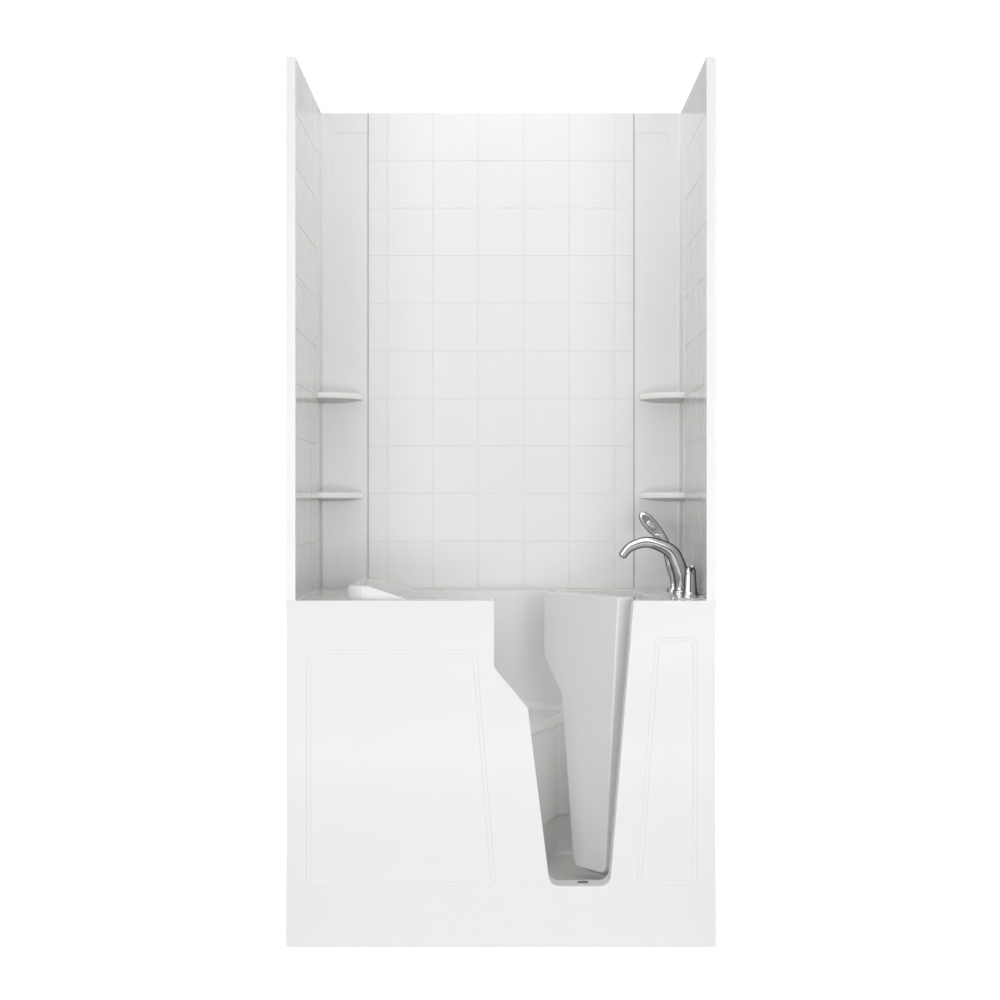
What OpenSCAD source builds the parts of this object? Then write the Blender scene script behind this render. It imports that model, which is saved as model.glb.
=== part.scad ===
// Walk-in bathtub with an inward-opening door, a moulded seat, a five-piece tiled wall surround
// with corner shelves, and a deck-mounted tub filler with hand shower.
// Millimetres. The origin is on the floor under the centre of the tub: +X is to the right seen
// from the front, +Y to the back and +Z up. Depths are measured back from the apron's beads.

/* [Tub] */
// Overall width of the tub and of its wall surround
tub_w = 1194; // [1150:2:1300]
// Overall depth, from the beads of the apron to the back of the surround
tub_d = 762; // [740:2:860]
// Height of the deck above the floor
deck_h = 965; // [940:1:1010]
// Thickness of the moulded shell
shell_t = 6; // [4:0.5:8]
// Height of the seat above the floor
seat_h = 590; // [560:1:605]
// Height of the foot-well floor above the floor of the room
well_h = 140; // [130:1:148]
// Depth of the rolled skirt under the deck's outer edge
skirt_h = 40; // [25:1:60]
// Width of the deck left of the basin
left_deck = 185; // [167:1:217]
// Width of the deck right of the basin
right_deck = 173; // [157:1:175]
// Width of the front deck, from the beads to the basin
front_deck = 90; // [84:1:110]
// Width of the rear deck, in front of the surround
rear_deck = 132; // [110:1:160]
// Corner radius of the basin seen from above
basin_r = 85; // [60:1:110]
// Corner radius beside the hinges
hinge_corner_r = 8; // [4:0.5:9]
// Radius between the basin's walls and the seat
seat_r = 38; // [20:1:50]
// How far the backrest leans in from the deck to the seat
back_lean = 44; // [20:1:60]

/* [Seat nose and foot-well] */
// Height of the roll along the seat's nose
roll_h = 33; // [24:1:40]
// How far the nose stands out over the foot-well wall
nose_out = 10; // [6:1:16]
// Clear radius that the seat leaves round the door's hinge
sweep_r = 335; // [332:1:350]
// Angle that the seat's edge follows the door's swing
sweep_angle = 17.2; // [14:0.2:24]
// Height of the toe recess under the seat
toe_h = 130; // [80:1:150]
// Depth of the toe recess
toe_in = 40; // [20:1:55]
// Radius of the foot-well's rear corners and of the cove at its rear
well_r = 60; // [40:1:80]
// Radius between the foot-well's floor and the wall under the sill
sill_toe_r = 10; // [4:1:12]

/* [Headrest collar] */
// Height of the collar above the deck
collar_h = 38; // [20:1:50]
// Width of the collar's rim
collar_w = 34; // [26:1:44]
// Length over which the collar's arms fall to the deck
collar_arm = 150; // [110:1:190]

/* [Faucet ledge] */
// Width of the raised ledge that carries the tub filler
ledge_w = 73; // [66:1:84]
// Height of the ledge
ledge_h = 3; // [2:0.5:6]

/* [Apron] */
// Thickness of the apron panel
apron_t = 5; // [4:0.5:7]
// Depth of the apron's returned edges
apron_return = 22; // [16:1:24]
// Height of the beads round the two fields
bead_h = 3; // [2:0.25:5]
// Width of the beads
bead_w = 12; // [8:1:16]

/* [Doorway] */
// Height of the sill
sill_h = 171; // [168:1:185]
// Distance of the wide upper part's left edge from the hinge axis
wide_left_in = 409; // [390:1:420]
// Distance of the left edge just under the notch from the hinge axis
notch_in = 315; // [300:1:320]
// Height of the top of the notch
notch_top = 780; // [760:1:810]
// Height of the bottom of the notch
notch_low = 666; // [662:1:690]
// Distance of the left edge at the sill from the hinge axis
low_left_in = 254; // [245:1:270]
// Distance of the right edge at the sill from the hinge axis
low_right_in = 87; // [80:1:100]
// Distance of the right edge at the deck from the hinge axis
top_right_in = 21; // [19:1:35]
// Corner radius of the notch
notch_r = 24; // [15:1:30]
// Corner radius at the sill
sill_r = 30; // [20:1:36]
// Thickness of the liner round the doorway
liner_t = 5; // [4:0.5:7]

/* [Door] */
// Angle at which the door stands open at rest
door_open = 57; // [0:1:80]
// Thickness of the outer panel that fills the doorway
plug_t = 45; // [30:1:50]
// Running gap between the panel and the doorway
door_gap = 4; // [3:0.5:6]
// Running gap on the latch side, where the door swings through
latch_gap = 9; // [8:0.5:12]
// Thickness of the inner panel that laps the doorway
flange_t = 10.2; // [8:0.2:14]
// Overlap of the inner panel round the doorway
flange_lap = 16; // [14:1:18]
// Height of the door's top above the deck
door_rise = 6; // [0:1:12]
// Thickness of the door seal
seal_t = 4; // [3:0.25:6]
// Width of the door seal
seal_w = 9; // [6:0.5:12]
// Clearance that the seal leaves when the door is shut
seal_gap = 0.3; // [0.3:0.1:1]

/* [Hinges and latch] */
// Distance of the hinge axis from the basin's right edge
hinge_in = 34; // [30:1:36]
// Radius of the hinge knuckles
knuckle_r = 8.5; // [7:0.25:9]
// Radius of the hinge pins
pin_r = 4; // [3:0.25:5]
// Running clearance of the pins
pin_gap = 0.05; // [0.02:0.01:0.1]
// Length of each hinge
hinge_len = 90; // [70:2:120]
// Height of the lower hinge's middle
hinge_low_z = 330; // [280:1:400]
// Depth of the upper hinge's middle below the deck
hinge_high = 105; // [85:1:165]
// Thickness of the hinge leaves
leaf_t = 2.5; // [2:0.25:4]
// Width of the hinge leaves
leaf_w = 24; // [20:1:27]
// Distance of the latch spindle from the doorway's upper left edge
latch_in = 34; // [24:1:59]
// Depth of the latch spindle below the deck
latch_low = 93; // [75:1:115]
// Radius of the latch spindle
spindle_r = 6; // [5:0.25:8]
// Length of the latch tongue
tongue_len = 76; // [72:1:84]
// Length of the latch lever
lever_len = 86; // [60:1:100]

/* [Wall surround] */
// Height of the surround above the deck
wall_h = 1512; // [1200:6:1600]
// Depth of the panels' edges, from face to wall
panel_d = 25; // [18:1:30]
// Thickness of the panels
panel_t = 5; // [4:0.5:7]
// Thickness of the strips between the panels
strip_t = 1.5; // [1:0.25:3]
// Length of the corner panels along the back wall
corner_back = 149; // [140:1:170]
// Length of the corner panels along the side walls
corner_side = 134; // [130:1:160]
// Gap between neighbouring panels
panel_gap = 2.5; // [1:0.25:4]
// Width of a tile on the back wall
tile_w = 144.5; // [120:0.5:160]
// Width of a tile on the side walls
side_tile_w = 198; // [150:1:240]
// Number of tile rows
tile_rows = 10; // [8:1:12]
// Width of the tile joints
joint_w = 3; // [2:0.25:5]
// Depth of the tile joints
joint_d = 1.5; // [1:0.25:2.5]

/* [Shelves] */
// Reach of a shelf from its corner
shelf_r = 134; // [120:1:138]
// Thickness of a shelf
shelf_t = 28; // [20:1:36]
// Height of the lower shelves above the deck
shelf_low = 306; // [280:1:360]
// Height of the upper shelves above the deck
shelf_high = 618; // [560:1:680]

/* [Tub filler] */
// Distance of the spout from the tub's right edge
spout_in = 59; // [52:1:67]
// Distance of the spout from the back wall
spout_back = 359; // [337:1:377]
// Height of the spout's bend above the deck
spout_rise = 168; // [140:1:200]
// Distance from the spout's base to its tip
spout_reach = 176; // [150:1:200]
// Radius of the spout at its tip
spout_tip_r = 12.5; // [11:0.5:14]
// Distance from the spout forward to the mixer handle
mixer_gap = 166; // [148:1:188]
// Distance of the mixer handle from the tub's right edge
mixer_in = 49; // [45:1:57]
// Height of the mixer's body above the deck
mixer_h = 64; // [50:1:80]
// Radius of the mixer's body at its foot
mixer_r = 20; // [17:0.5:23]
// Distance from the spout back to the hand shower
shower_gap = 165; // [142:1:192]
// Distance of the hand shower from the tub's right edge
shower_in = 65; // [57:1:72]
// Height of the hand shower above the deck
shower_rise = 242; // [220:1:270]
// Thickness of the rings under the deck fittings
ring_h = 8; // [6:0.5:12]

/* [Waste and overflow] */
// Distance of the drain from the basin's right edge
drain_in = 124; // [104:1:164]
// Distance of the drain from the basin's back
drain_back = 125; // [105:1:165]
// Radius of the drain flange
drain_r = 36; // [32:1:40]
// Radius of the drain opening
drain_bore_r = 22; // [19:0.5:24]
// Outer radius of the waste pipes
pipe_r = 19; // [16:0.5:22]
// Wall of the waste pipes
pipe_t = 3; // [2:0.25:4]
// Distance from the drain forward to the overflow
overflow_gap = 180; // [140:1:220]
// Depth of the overflow below the deck
overflow_low = 115; // [85:1:165]
// Radius of the overflow plate
overflow_r = 38; // [34:1:44]
// Radius of the sill strainer
strainer_r = 15.5; // [12:0.5:18]

/* [Steel frame and feet] */
// Side of the square frame tubes
tube = 30; // [25:1:35]
// Wall of the frame tubes
tube_t = 2; // [1.5:0.25:3]
// Height of the base frame's underside
frame_z = 45; // [38:1:55]
// Radius of the foot pads
pad_r = 25; // [18:1:30]
// Thickness of the foot pads
pad_h = 10; // [8:1:14]
// Radius of the foot studs
stud_r = 6; // [5:0.5:8]

/* [Hidden] */

$fn = 48;
acrylic = "whitesmoke";
steel = "silver";
front = -tub_d / 2;
half_w = tub_w / 2;
apron_back = bead_h + apron_t;
basin_back = tub_d - panel_d - rear_deck;
basin_left = half_w - left_deck;
basin_right = half_w - right_deck;
wall_x = half_w - panel_d;
wall_depth = tub_d - panel_d;
wall_top = deck_h + wall_h;
cut = 1;

hinge_x = basin_right - hinge_in;
hinge_high_z = deck_h - hinge_high;
door_wide_left = hinge_x - wide_left_in;
door_notch_x = hinge_x - notch_in;
door_low_left = hinge_x - low_left_in;
door_low_right = hinge_x - low_right_in;
door_top_right = hinge_x - top_right_in;
latch_x = door_wide_left + latch_in;
latch_z = deck_h - latch_low;
spout_x = half_w - spout_in;
spout_depth = wall_depth - spout_back;
mixer_x = half_w - mixer_in;
mixer_depth = spout_depth - mixer_gap;
shower_x = half_w - shower_in;
shower_depth = spout_depth + shower_gap;
drain_x = basin_right - drain_in;
drain_depth = basin_back - drain_back;
overflow_depth = drain_depth - overflow_gap;
overflow_z = deck_h - overflow_low;

// An outline's corner is [x, y, r]. Outlines run anticlockwise.
function unit(v) = v / norm(v);
function flat(p) = [p.x, p.y];
function corner_arc(a, b, c, r, n) =
    r <= 0 ? [b] :
    let (u = unit(a - b), w = unit(c - b),
        half = acos(u * w) / 2,
        centre = b + unit(u + w) * r / sin(half),
        p = b + u * r / tan(half), q = b + w * r / tan(half),
        start = atan2(p.y - centre.y, p.x - centre.x),
        swing = atan2(q.y - centre.y, q.x - centre.x) - start,
        turn = swing > 180 ? swing - 360 : swing < -180 ? swing + 360 : swing)
    [for (i = [0:n]) centre + r * [cos(start + turn * i / n), sin(start + turn * i / n)]];
function before(path, i) = flat(path[(i + len(path) - 1) % len(path)]);
function after(path, i) = flat(path[(i + 1) % len(path)]);
function rounded(path, n = 8) = [for (i = [0:len(path) - 1])
    each corner_arc(before(path, i), flat(path[i]), after(path, i), path[i].z, n)];

// The same outline with every side moved outwards by g
function grown(path, g) = [for (i = [0:len(path) - 1])
    let (b = flat(path[i]), e = unit(b - before(path, i)), h = unit(after(path, i) - b),
        m = [e.y, -e.x], n = [h.y, -h.x],
        convex = e.x * h.y - e.y * h.x > 0,
        r = path[i].z,
        p = b + g * (m + n) / (1 + m * n))
    [p.x, p.y, r <= 0 ? 0 : max(convex ? r + g : r - g, 0.5)]];

// Extrudes an X-Z outline from depth a to depth b
module from_front(a, b) {
    translate([0, front + b, 0]) rotate([90, 0, 0]) linear_extrude(b - a) children();
}

// Extrudes a depth-Z outline from x = a to x = b
module from_side(a, b) {
    translate([a, front, 0]) rotate([90, 0, 90]) linear_extrude(b - a) children();
}

// Extrudes an X-depth outline from z = a to z = b
module from_above(a, b) {
    translate([0, front, a]) linear_extrude(b - a) children();
}

// A box between two corners, each [x, depth, z]
module block(a, b) {
    translate([a.x, front + a.y, a.z]) cube(b - a);
}

// A round bar from z = a to z = b
module post(x, depth, r, a, b) {
    translate([x, front + depth, a]) cylinder(r = r, h = b - a);
}

// A round bar along +Y from depth a to depth b
module bar_y(x, z, r, a, b) {
    translate([x, front + a, z]) rotate([-90, 0, 0]) cylinder(r = r, h = b - a);
}

// A round bar along +X
module bar_x(depth, z, r, a, b) {
    translate([a, front + depth, z]) rotate([0, 90, 0]) cylinder(r = r, h = b - a);
}

// The doorway seen from the front, carried above the deck by rise
right_slope = (door_top_right - door_low_right) / (deck_h - sill_h);
function doorway(rise) = [
    [door_low_left, sill_h, sill_r],
    [door_low_right, sill_h, sill_r],
    [door_top_right + right_slope * rise, deck_h + rise, 0],
    [door_wide_left, deck_h + rise, 0],
    [door_wide_left, notch_top, notch_r],
    [door_notch_x, notch_low, notch_r]];
open_top = 60;

// The doorway's outline cut level at height top
module doorway_area(g, top) {
    intersection() {
        polygon(rounded(grown(doorway(open_top), g)));
        translate([-half_w, 0]) square([tub_w, top]);
    }
}

// Basin and foot-well, each as an outline from above and two sections, all grown by g
function basin_plan(g) = grown([
    [-basin_left, front_deck, basin_r], [basin_right, front_deck, hinge_corner_r],
    [basin_right, basin_back, basin_r], [-basin_left, basin_back, basin_r]], g);
function basin_section(g) = grown([
    [back_lean - basin_left, seat_h, seat_r], [basin_right, seat_h, 0],
    [basin_right, wall_top, 0], [-basin_left, wall_top, 0], [-basin_left, deck_h, 0]], g);
function depth_section(g, floor_z, near_r, far_r) = grown([
    [front_deck, floor_z, near_r], [basin_back, floor_z, far_r],
    [basin_back, wall_top, 0], [front_deck, wall_top, 0]], g);

// The seat's edge keeps clear of the door's swing, then runs straight to the back wall
hinge_depth = front_deck + knuckle_r;
sweep_end = [hinge_x - sweep_r * cos(sweep_angle), hinge_depth + sweep_r * sin(sweep_angle)];
seat_end = sweep_end.x + (basin_back - sweep_end.y) * tan(sweep_angle);
function well_plan(back) = concat(
    corner_arc([hinge_x, front_deck], [basin_right, front_deck], [basin_right, basin_back],
        hinge_corner_r, 8),
    corner_arc([basin_right, front_deck], [basin_right, basin_back], [0, basin_back], basin_r, 8),
    corner_arc([basin_right, basin_back], [seat_end - back, basin_back],
        sweep_end - [back, 0], well_r, 8),
    [for (i = [8:-1:0]) [hinge_x - back - sweep_r * cos(sweep_angle * i / 8),
        hinge_depth + sweep_r * sin(sweep_angle * i / 8)]],
    [[hinge_x - back - sweep_r, front_deck]]);
well_right = hinge_x - sweep_r;

module basin_space(g) {
    intersection() {
        from_above(seat_h - g, wall_top) polygon(rounded(basin_plan(g)));
        from_front(front_deck - g, basin_back + g) polygon(rounded(basin_section(g)));
        from_side(-half_w, half_w) polygon(rounded(depth_section(g, seat_h, seat_r, seat_r)));
    }
}

// One level of the foot-well, set back under the seat by back
module well_level(back, g, a, b) {
    intersection() {
        from_above(a - (a <= well_h ? g : 0), b) offset_plan(back, g);
        from_side(-half_w, half_w) polygon(rounded(depth_section(g, well_h, sill_toe_r, well_r)));
    }
}

// The foot-well's outline, thickened by g towards the seat, the sill and the back
module offset_plan(back, g) {
    if (g > 0) {
        intersection() {
            polygon(rounded(basin_plan(g)));
            union() {
                translate([-g, -g]) polygon(well_plan(back));
                translate([-g, g]) polygon(well_plan(back));
                translate([seat_end, front_deck - g])
                    square([basin_right + g - seat_end, basin_back - front_deck + 2 * g]);
                translate([well_right - back, front_deck - g])
                    square([basin_right + g - well_right, well_r]);
            }
        }
    } else {
        polygon(well_plan(back));
    }
}

nose_low = seat_h - roll_h;
module well_space(g) {
    well_level(0, g, nose_low - g, wall_top);
    well_level(nose_out, g, well_h + toe_h, nose_low);
    well_level(toe_in, g, well_h, well_h + toe_h);
}

module collar_body() {
    collar_left = -basin_left - collar_w;
    crest = deck_h + collar_h;
    intersection() {
        from_above(deck_h - shell_t, crest) polygon(rounded(basin_plan(collar_w)));
        from_front(0, tub_d) polygon(rounded([
            [collar_left, deck_h - shell_t, 0],
            [collar_arm - basin_left, deck_h - shell_t, 0],
            [collar_arm - basin_left, deck_h, 0],
            [collar_w - basin_left, crest, collar_h],
            [collar_left + collar_w / 3, crest, collar_w / 4],
            [collar_left, deck_h, 0]]));
        from_side(-half_w, half_w) polygon(rounded([
            [front_deck - collar_w, deck_h - shell_t, 0], [basin_back + collar_w, deck_h - shell_t, 0],
            [basin_back + collar_w, deck_h, 0], [basin_back + collar_w / 3, crest, collar_w / 2],
            [front_deck - collar_w / 3, crest, collar_w / 2], [front_deck - collar_w, deck_h, 0]]));
    }
}

module tub_shell() {
    skirt_low = deck_h - skirt_h;
    color(acrylic) difference() {
        union() {
            block([-half_w, apron_back, deck_h - shell_t], [half_w, tub_d, deck_h]);
            difference() {
                block([-half_w, apron_back, skirt_low], [half_w, tub_d, deck_h]);
                block([shell_t - half_w, apron_back - cut, skirt_low - cut],
                    [half_w - shell_t, tub_d - shell_t, deck_h - shell_t]);
            }
            intersection() {
                basin_space(shell_t);
                block([-half_w, 0, 0], [half_w, tub_d, deck_h]);
            }
            intersection() {
                well_space(shell_t);
                block([-half_w, 0, 0], [half_w, tub_d, deck_h]);
            }
            collar_body();
            block([wall_x - ledge_w, front_deck, deck_h],
                [wall_x, wall_depth - corner_r - cut, deck_h + ledge_h]);
        }
        basin_space(0);
        well_space(0);
        from_front(0, front_deck + cut) doorway_area(0, wall_top);
        post(drain_x, drain_depth, drain_bore_r + 4, 0, seat_h);
        bar_x(overflow_depth, overflow_z, pipe_r - pipe_t, basin_right - cut, half_w - tube * 2);
        for (hole = deck_holes) post(hole.x, hole.y, hole.z, deck_h - 2 * shell_t, wall_top);
    }
}

mixer_shank = 13;
spout_shank = 10;
shower_shank = 12.5;
deck_holes = [[mixer_x, mixer_depth, mixer_shank + 1], [spout_x, spout_depth, spout_shank + 1],
    [shower_x, shower_depth, shower_shank + 0.5]];

// The apron's fields stay clear of its edges and of the doorway
field_edge = 56;
field_low = 171;
field_high = deck_h - 137;
field_r = 18;
right_field_high = field_high + 35;
left_field = [
    [field_edge - half_w, field_low, field_r], [door_wide_left + 4, field_low, field_r],
    [door_wide_left - 49, field_high, field_r], [field_edge - half_w, field_high, field_r]];
right_field = [
    [door_low_right + 75, field_low + 3, field_r],
    [half_w - field_edge + 4, field_low + 3, field_r],
    [half_w - field_edge + 4, right_field_high, field_r],
    [door_top_right + 61, right_field_high, field_r]];

module bead(field) {
    from_front(0, bead_h + cut) difference() {
        polygon(rounded(field));
        polygon(rounded(grown(field, -bead_w)));
    }
}

module front_apron() {
    color(acrylic) difference() {
        union() {
            block([-half_w, bead_h, 0], [half_w, apron_back, deck_h]);
            for (side = [0, 1]) mirror([side, 0, 0])
                block([half_w - apron_t, bead_h, 0],
                    [half_w, apron_return, deck_h - skirt_h - cut]);
            block([-half_w, bead_h, 0], [half_w, apron_return, apron_t]);
            bead(left_field);
            bead(right_field);
        }
        from_front(-cut, front_deck) doorway_area(0, wall_top);
    }
}

module door_frame() {
    color(acrylic) difference() {
        from_front(apron_back, front_deck - shell_t) doorway_area(liner_t, deck_h - shell_t);
        from_front(apron_back - cut, front_deck) doorway_area(0, wall_top);
        post(strainer_x, strainer_depth, strainer_r - 3, 0, deck_h);
    }
}

strainer_x = (door_low_left + door_low_right) / 2 + 10;
strainer_depth = front_deck / 2;
module sill_strainer() {
    stem_low = sill_h - 40;
    color(steel) difference() {
        union() {
            post(strainer_x, strainer_depth, strainer_r, sill_h, sill_h + 3);
            post(strainer_x, strainer_depth, strainer_r - 3.2, stem_low, sill_h + cut);
        }
        post(strainer_x, strainer_depth, strainer_r - 6, stem_low - cut, sill_h);
        for (i = [0:5]) translate([strainer_x, front + strainer_depth, 0]) rotate(i * 60)
            translate([strainer_r / 2, 0, sill_h - cut]) cylinder(r = 2, h = 5);
    }
}

// The door is drawn shut and turned open about its hinge axis
module on_door() {
    translate([hinge_x, front + hinge_depth, 0]) rotate(-door_open)
        translate([-hinge_x, -front - hinge_depth, 0]) children();
}

seal_front = front_deck + seal_gap;
flange_front = seal_front + seal_t;
flange_back = flange_front + flange_t;
plug_front = front_deck - plug_t;
door_top = deck_h + door_rise;
flange_right = hinge_x - knuckle_r - 1.5;

module door_panel() {
    color(acrylic) on_door() intersection() {
        from_front(plug_front, flange_front) doorway_area(-door_gap, door_top);
        from_front(0, tub_d) translate([latch_gap - door_gap, 0])
            doorway_area(-door_gap, door_top);
    }
}

module flange_area(lap) {
    intersection() {
        union() {
            doorway_area(lap, door_top);
            translate([door_low_right, sill_h - lap])
                square([flange_right - door_low_right, door_top - sill_h + lap]);
        }
        translate([-half_w, 0]) square([half_w + flange_right, tub_w]);
    }
}

module door_inner_panel() {
    color(acrylic) on_door() difference() {
        union() {
            from_front(flange_front, flange_back) flange_area(flange_lap);
            from_front(flange_back - cut, flange_back + rib_h) difference() {
                polygon(rounded(door_field));
                polygon(rounded(grown(door_field, -bead_w)));
            }
        }
        bar_y(latch_x, latch_z, spindle_r + pin_gap, plug_front, flange_back + rib_h + cut);
    }
}

// The raised bead on the door's inner face
rib_h = 2.5;
door_field = [
    [door_low_left + 24, sill_h + 30, 22], [door_low_right - 12, sill_h + 30, 22],
    [door_top_right - 46, notch_top + 20, 22], [door_notch_x + 40, notch_top + 20, 22],
    [door_notch_x + 40, notch_low - 30, 22]];

module door_seal() {
    outside = flange_lap - 2;
    color("dimgray") on_door() from_front(seal_front, flange_front) difference() {
        intersection() {
            doorway_area(outside, door_top);
            translate([-half_w, 0]) square([half_w + flange_right, tub_w]);
        }
        doorway_area(outside - seal_w, wall_top);
    }
}

// Hinges: the jamb leaf is screwed to the basin wall and the door leaf to the inner panel
knuckles = 5;
function knuckle_z(middle, i) = middle - hinge_len / 2 + hinge_len * i / knuckles;
knuckle_space = 0.4;

module knuckle(middle, i) {
    post(hinge_x, hinge_depth, knuckle_r, knuckle_z(middle, i) + knuckle_space,
        knuckle_z(middle, i + 1) - knuckle_space);
}

module jamb_hinge(middle) {
    color(steel) difference() {
        union() {
            block([hinge_x + knuckle_r + 1, front_deck, middle - hinge_len / 2],
                [hinge_x + leaf_w, front_deck + leaf_t, middle + hinge_len / 2]);
            for (i = [0, 2, 4]) {
                knuckle(middle, i);
                block([hinge_x, front_deck, knuckle_z(middle, i) + knuckle_space],
                    [hinge_x + knuckle_r + 2, front_deck + leaf_t,
                        knuckle_z(middle, i + 1) - knuckle_space]);
            }
        }
        post(hinge_x, hinge_depth, pin_r + pin_gap, middle - hinge_len, middle + hinge_len);
    }
}

module door_hinge(middle) {
    color(steel) on_door() difference() {
        union() {
            block([hinge_x - leaf_w - knuckle_r, flange_back, middle - hinge_len / 2],
                [flange_right, flange_back + leaf_t, middle + hinge_len / 2]);
            for (i = [1, 3]) {
                knuckle(middle, i);
                block([flange_right - cut, hinge_depth + knuckle_r - leaf_t,
                    knuckle_z(middle, i) + knuckle_space],
                    [hinge_x, flange_back + leaf_t, knuckle_z(middle, i + 1) - knuckle_space]);
            }
        }
        post(hinge_x, hinge_depth, pin_r + pin_gap, middle - hinge_len, middle + hinge_len);
    }
}

module hinge_pin(middle) {
    head_r = pin_r + 2;
    color(steel) {
        post(hinge_x, hinge_depth, pin_r, middle - hinge_len / 2, middle + hinge_len / 2 + cut);
        post(hinge_x, hinge_depth, head_r, middle + hinge_len / 2, middle + hinge_len / 2 + 3);
    }
}

// Latch: a lever on the door's inner face turns a tongue behind the keeper on the basin wall
latch_plate_t = 3;
tongue_front = flange_back + latch_plate_t + 1;
tongue_t = 4;
tongue_w = 16;
lever_front = tongue_front + tongue_t;
lever_t = 9;

module latch_plate() {
    color(steel) on_door() difference() {
        bar_y(latch_x, latch_z, spindle_r + 14, flange_back, flange_back + latch_plate_t);
        bar_y(latch_x, latch_z, spindle_r + pin_gap, flange_back - cut, lever_front);
    }
}

module latch_tongue() {
    color(steel) on_door() union() {
        bar_y(latch_x, latch_z, spindle_r, flange_front + 0.3, lever_front + lever_t);
        bar_y(latch_x, latch_z, tongue_w / 2 + 3, tongue_front, lever_front);
        block([latch_x - tongue_w / 2, tongue_front, latch_z - tongue_len + tongue_w / 2],
            [latch_x + tongue_w / 2, lever_front, latch_z]);
        bar_y(latch_x, latch_z - tongue_len + tongue_w / 2, tongue_w / 2, tongue_front,
            lever_front);
    }
}

module latch_lever() {
    grip_r = 8;
    color(steel) on_door() difference() {
        union() {
            bar_y(latch_x, latch_z, 14, lever_front, lever_front + lever_t);
            hull() {
                bar_y(latch_x, latch_z, 12, lever_front + 1, lever_front + lever_t - 1);
                bar_y(latch_x + lever_len, latch_z, grip_r, lever_front + 3,
                    lever_front + lever_t + 4);
            }
        }
        bar_y(latch_x, latch_z, spindle_r, flange_back, lever_front + lever_t + 6);
    }
}

// The keeper stands on the basin wall beside the door, open towards it
keeper_right = door_wide_left - flange_lap - 12;
keeper_w = 28;
module latch_keeper() {
    slot_gap = 0.8;
    low = latch_z - 22;
    high = latch_z + 22;
    color(steel) difference() {
        union() {
            block([keeper_right - keeper_w, front_deck, low],
                [keeper_right, lever_front + slot_gap + 4, high]);
            block([keeper_right - keeper_w - 14, front_deck, low],
                [keeper_right, front_deck + 3, high]);
        }
        block([keeper_right - keeper_w + 5, tongue_front - slot_gap, low - cut],
            [keeper_right + cut, lever_front + slot_gap, high + cut]);
    }
}

// Grooves between the tiles: level ones from low over length, upright ones at the columns
module tile_joints(columns, low, length) {
    row_h = wall_h / tile_rows;
    for (i = [1:tile_rows - 1])
        translate([low, deck_h + row_h * i - joint_w / 2]) square([length, joint_w]);
    for (x = columns) translate([x - joint_w / 2, deck_h]) square([joint_w, wall_h]);
}

// Wall surround: moulded pans with a returned edge all round, open at the back
module back_panel() {
    half = wall_x - corner_back - panel_gap / 2;
    columns = [for (i = [-3:2]) (i + 0.5) * tile_w];
    ribs = [-half / 2, 0, half / 2];
    color(acrylic) difference() {
        union() {
            difference() {
                block([-half, wall_depth, deck_h], [half, tub_d, wall_top]);
                block([panel_t - half, wall_depth + panel_t, deck_h + panel_t],
                    [half - panel_t, tub_d + cut, wall_top - panel_t]);
            }
            for (x = ribs)
                block([x - panel_t / 2, wall_depth, deck_h], [x + panel_t / 2, tub_d, wall_top]);
        }
        from_front(wall_depth - cut, wall_depth + joint_d)
            tile_joints(columns, -half, 2 * half);
    }
}

// The right side panel; the left one mirrors it
module side_panel() {
    far = wall_depth - corner_side - panel_gap / 2;
    near = bead_h;
    columns = [for (i = [1:4]) if (near + i * side_tile_w < far - 20) near + i * side_tile_w];
    color(acrylic) difference() {
        union() {
            difference() {
                block([wall_x, near, deck_h], [half_w, far, wall_top]);
                block([wall_x + panel_t, near + panel_t, deck_h + panel_t],
                    [half_w + cut, far - panel_t, wall_top - panel_t]);
            }
            block([wall_x, (near + far) / 2, deck_h], [half_w, (near + far) / 2 + panel_t, wall_top]);
        }
        from_side(wall_x - cut, wall_x + joint_d) tile_joints(columns, near + panel_t, far);
    }
}

// The right corner panel: two pans that meet in the corner
module corner_panel() {
    near = wall_depth - corner_side + panel_gap / 2;
    left = wall_x - corner_back + panel_gap / 2;
    color(acrylic) difference() {
        union() {
            block([left, wall_depth, deck_h], [half_w, tub_d, wall_top]);
            block([wall_x, near, deck_h], [half_w, tub_d, wall_top]);
            corner_fillet();
        }
        block([left + panel_t, wall_depth + panel_t, deck_h + panel_t],
            [half_w - panel_t, tub_d + cut, wall_top - panel_t]);
        block([wall_x + panel_t, near + panel_t, deck_h + panel_t],
            [half_w + cut, tub_d - panel_t, wall_top - panel_t]);
        from_front(wall_depth - cut, wall_depth + joint_d) polygon(rounded([
            [left + 3, deck_h + 40, 8], [wall_x - 38, deck_h + 40, 20],
            [wall_x - 38, wall_top - 62, 20], [left + 3, wall_top - 62, 8]]));
    }
}

corner_r = 12;
module corner_fillet() {
    difference() {
        block([wall_x - corner_r, wall_depth - corner_r, deck_h],
            [wall_x + cut, wall_depth + cut, wall_top]);
        post(wall_x - corner_r, wall_depth - corner_r, corner_r, deck_h - cut, wall_top + cut);
    }
}

// Thin dark strips in the joints between the panels
module seam_strips() {
    strip_in = 1.2;
    color("gray") for (side = [0, 1]) mirror([side, 0, 0]) {
        block([wall_x - corner_back - panel_gap / 2 + 0.01, wall_depth + strip_in, deck_h],
            [wall_x - corner_back + panel_gap / 2 - 0.01, wall_depth + strip_in + strip_t, wall_top]);
        block([wall_x + strip_in, wall_depth - corner_side - panel_gap / 2 + 0.01, deck_h],
            [wall_x + strip_in + strip_t, wall_depth - corner_side + panel_gap / 2 - 0.01, wall_top]);
    }
}

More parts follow.
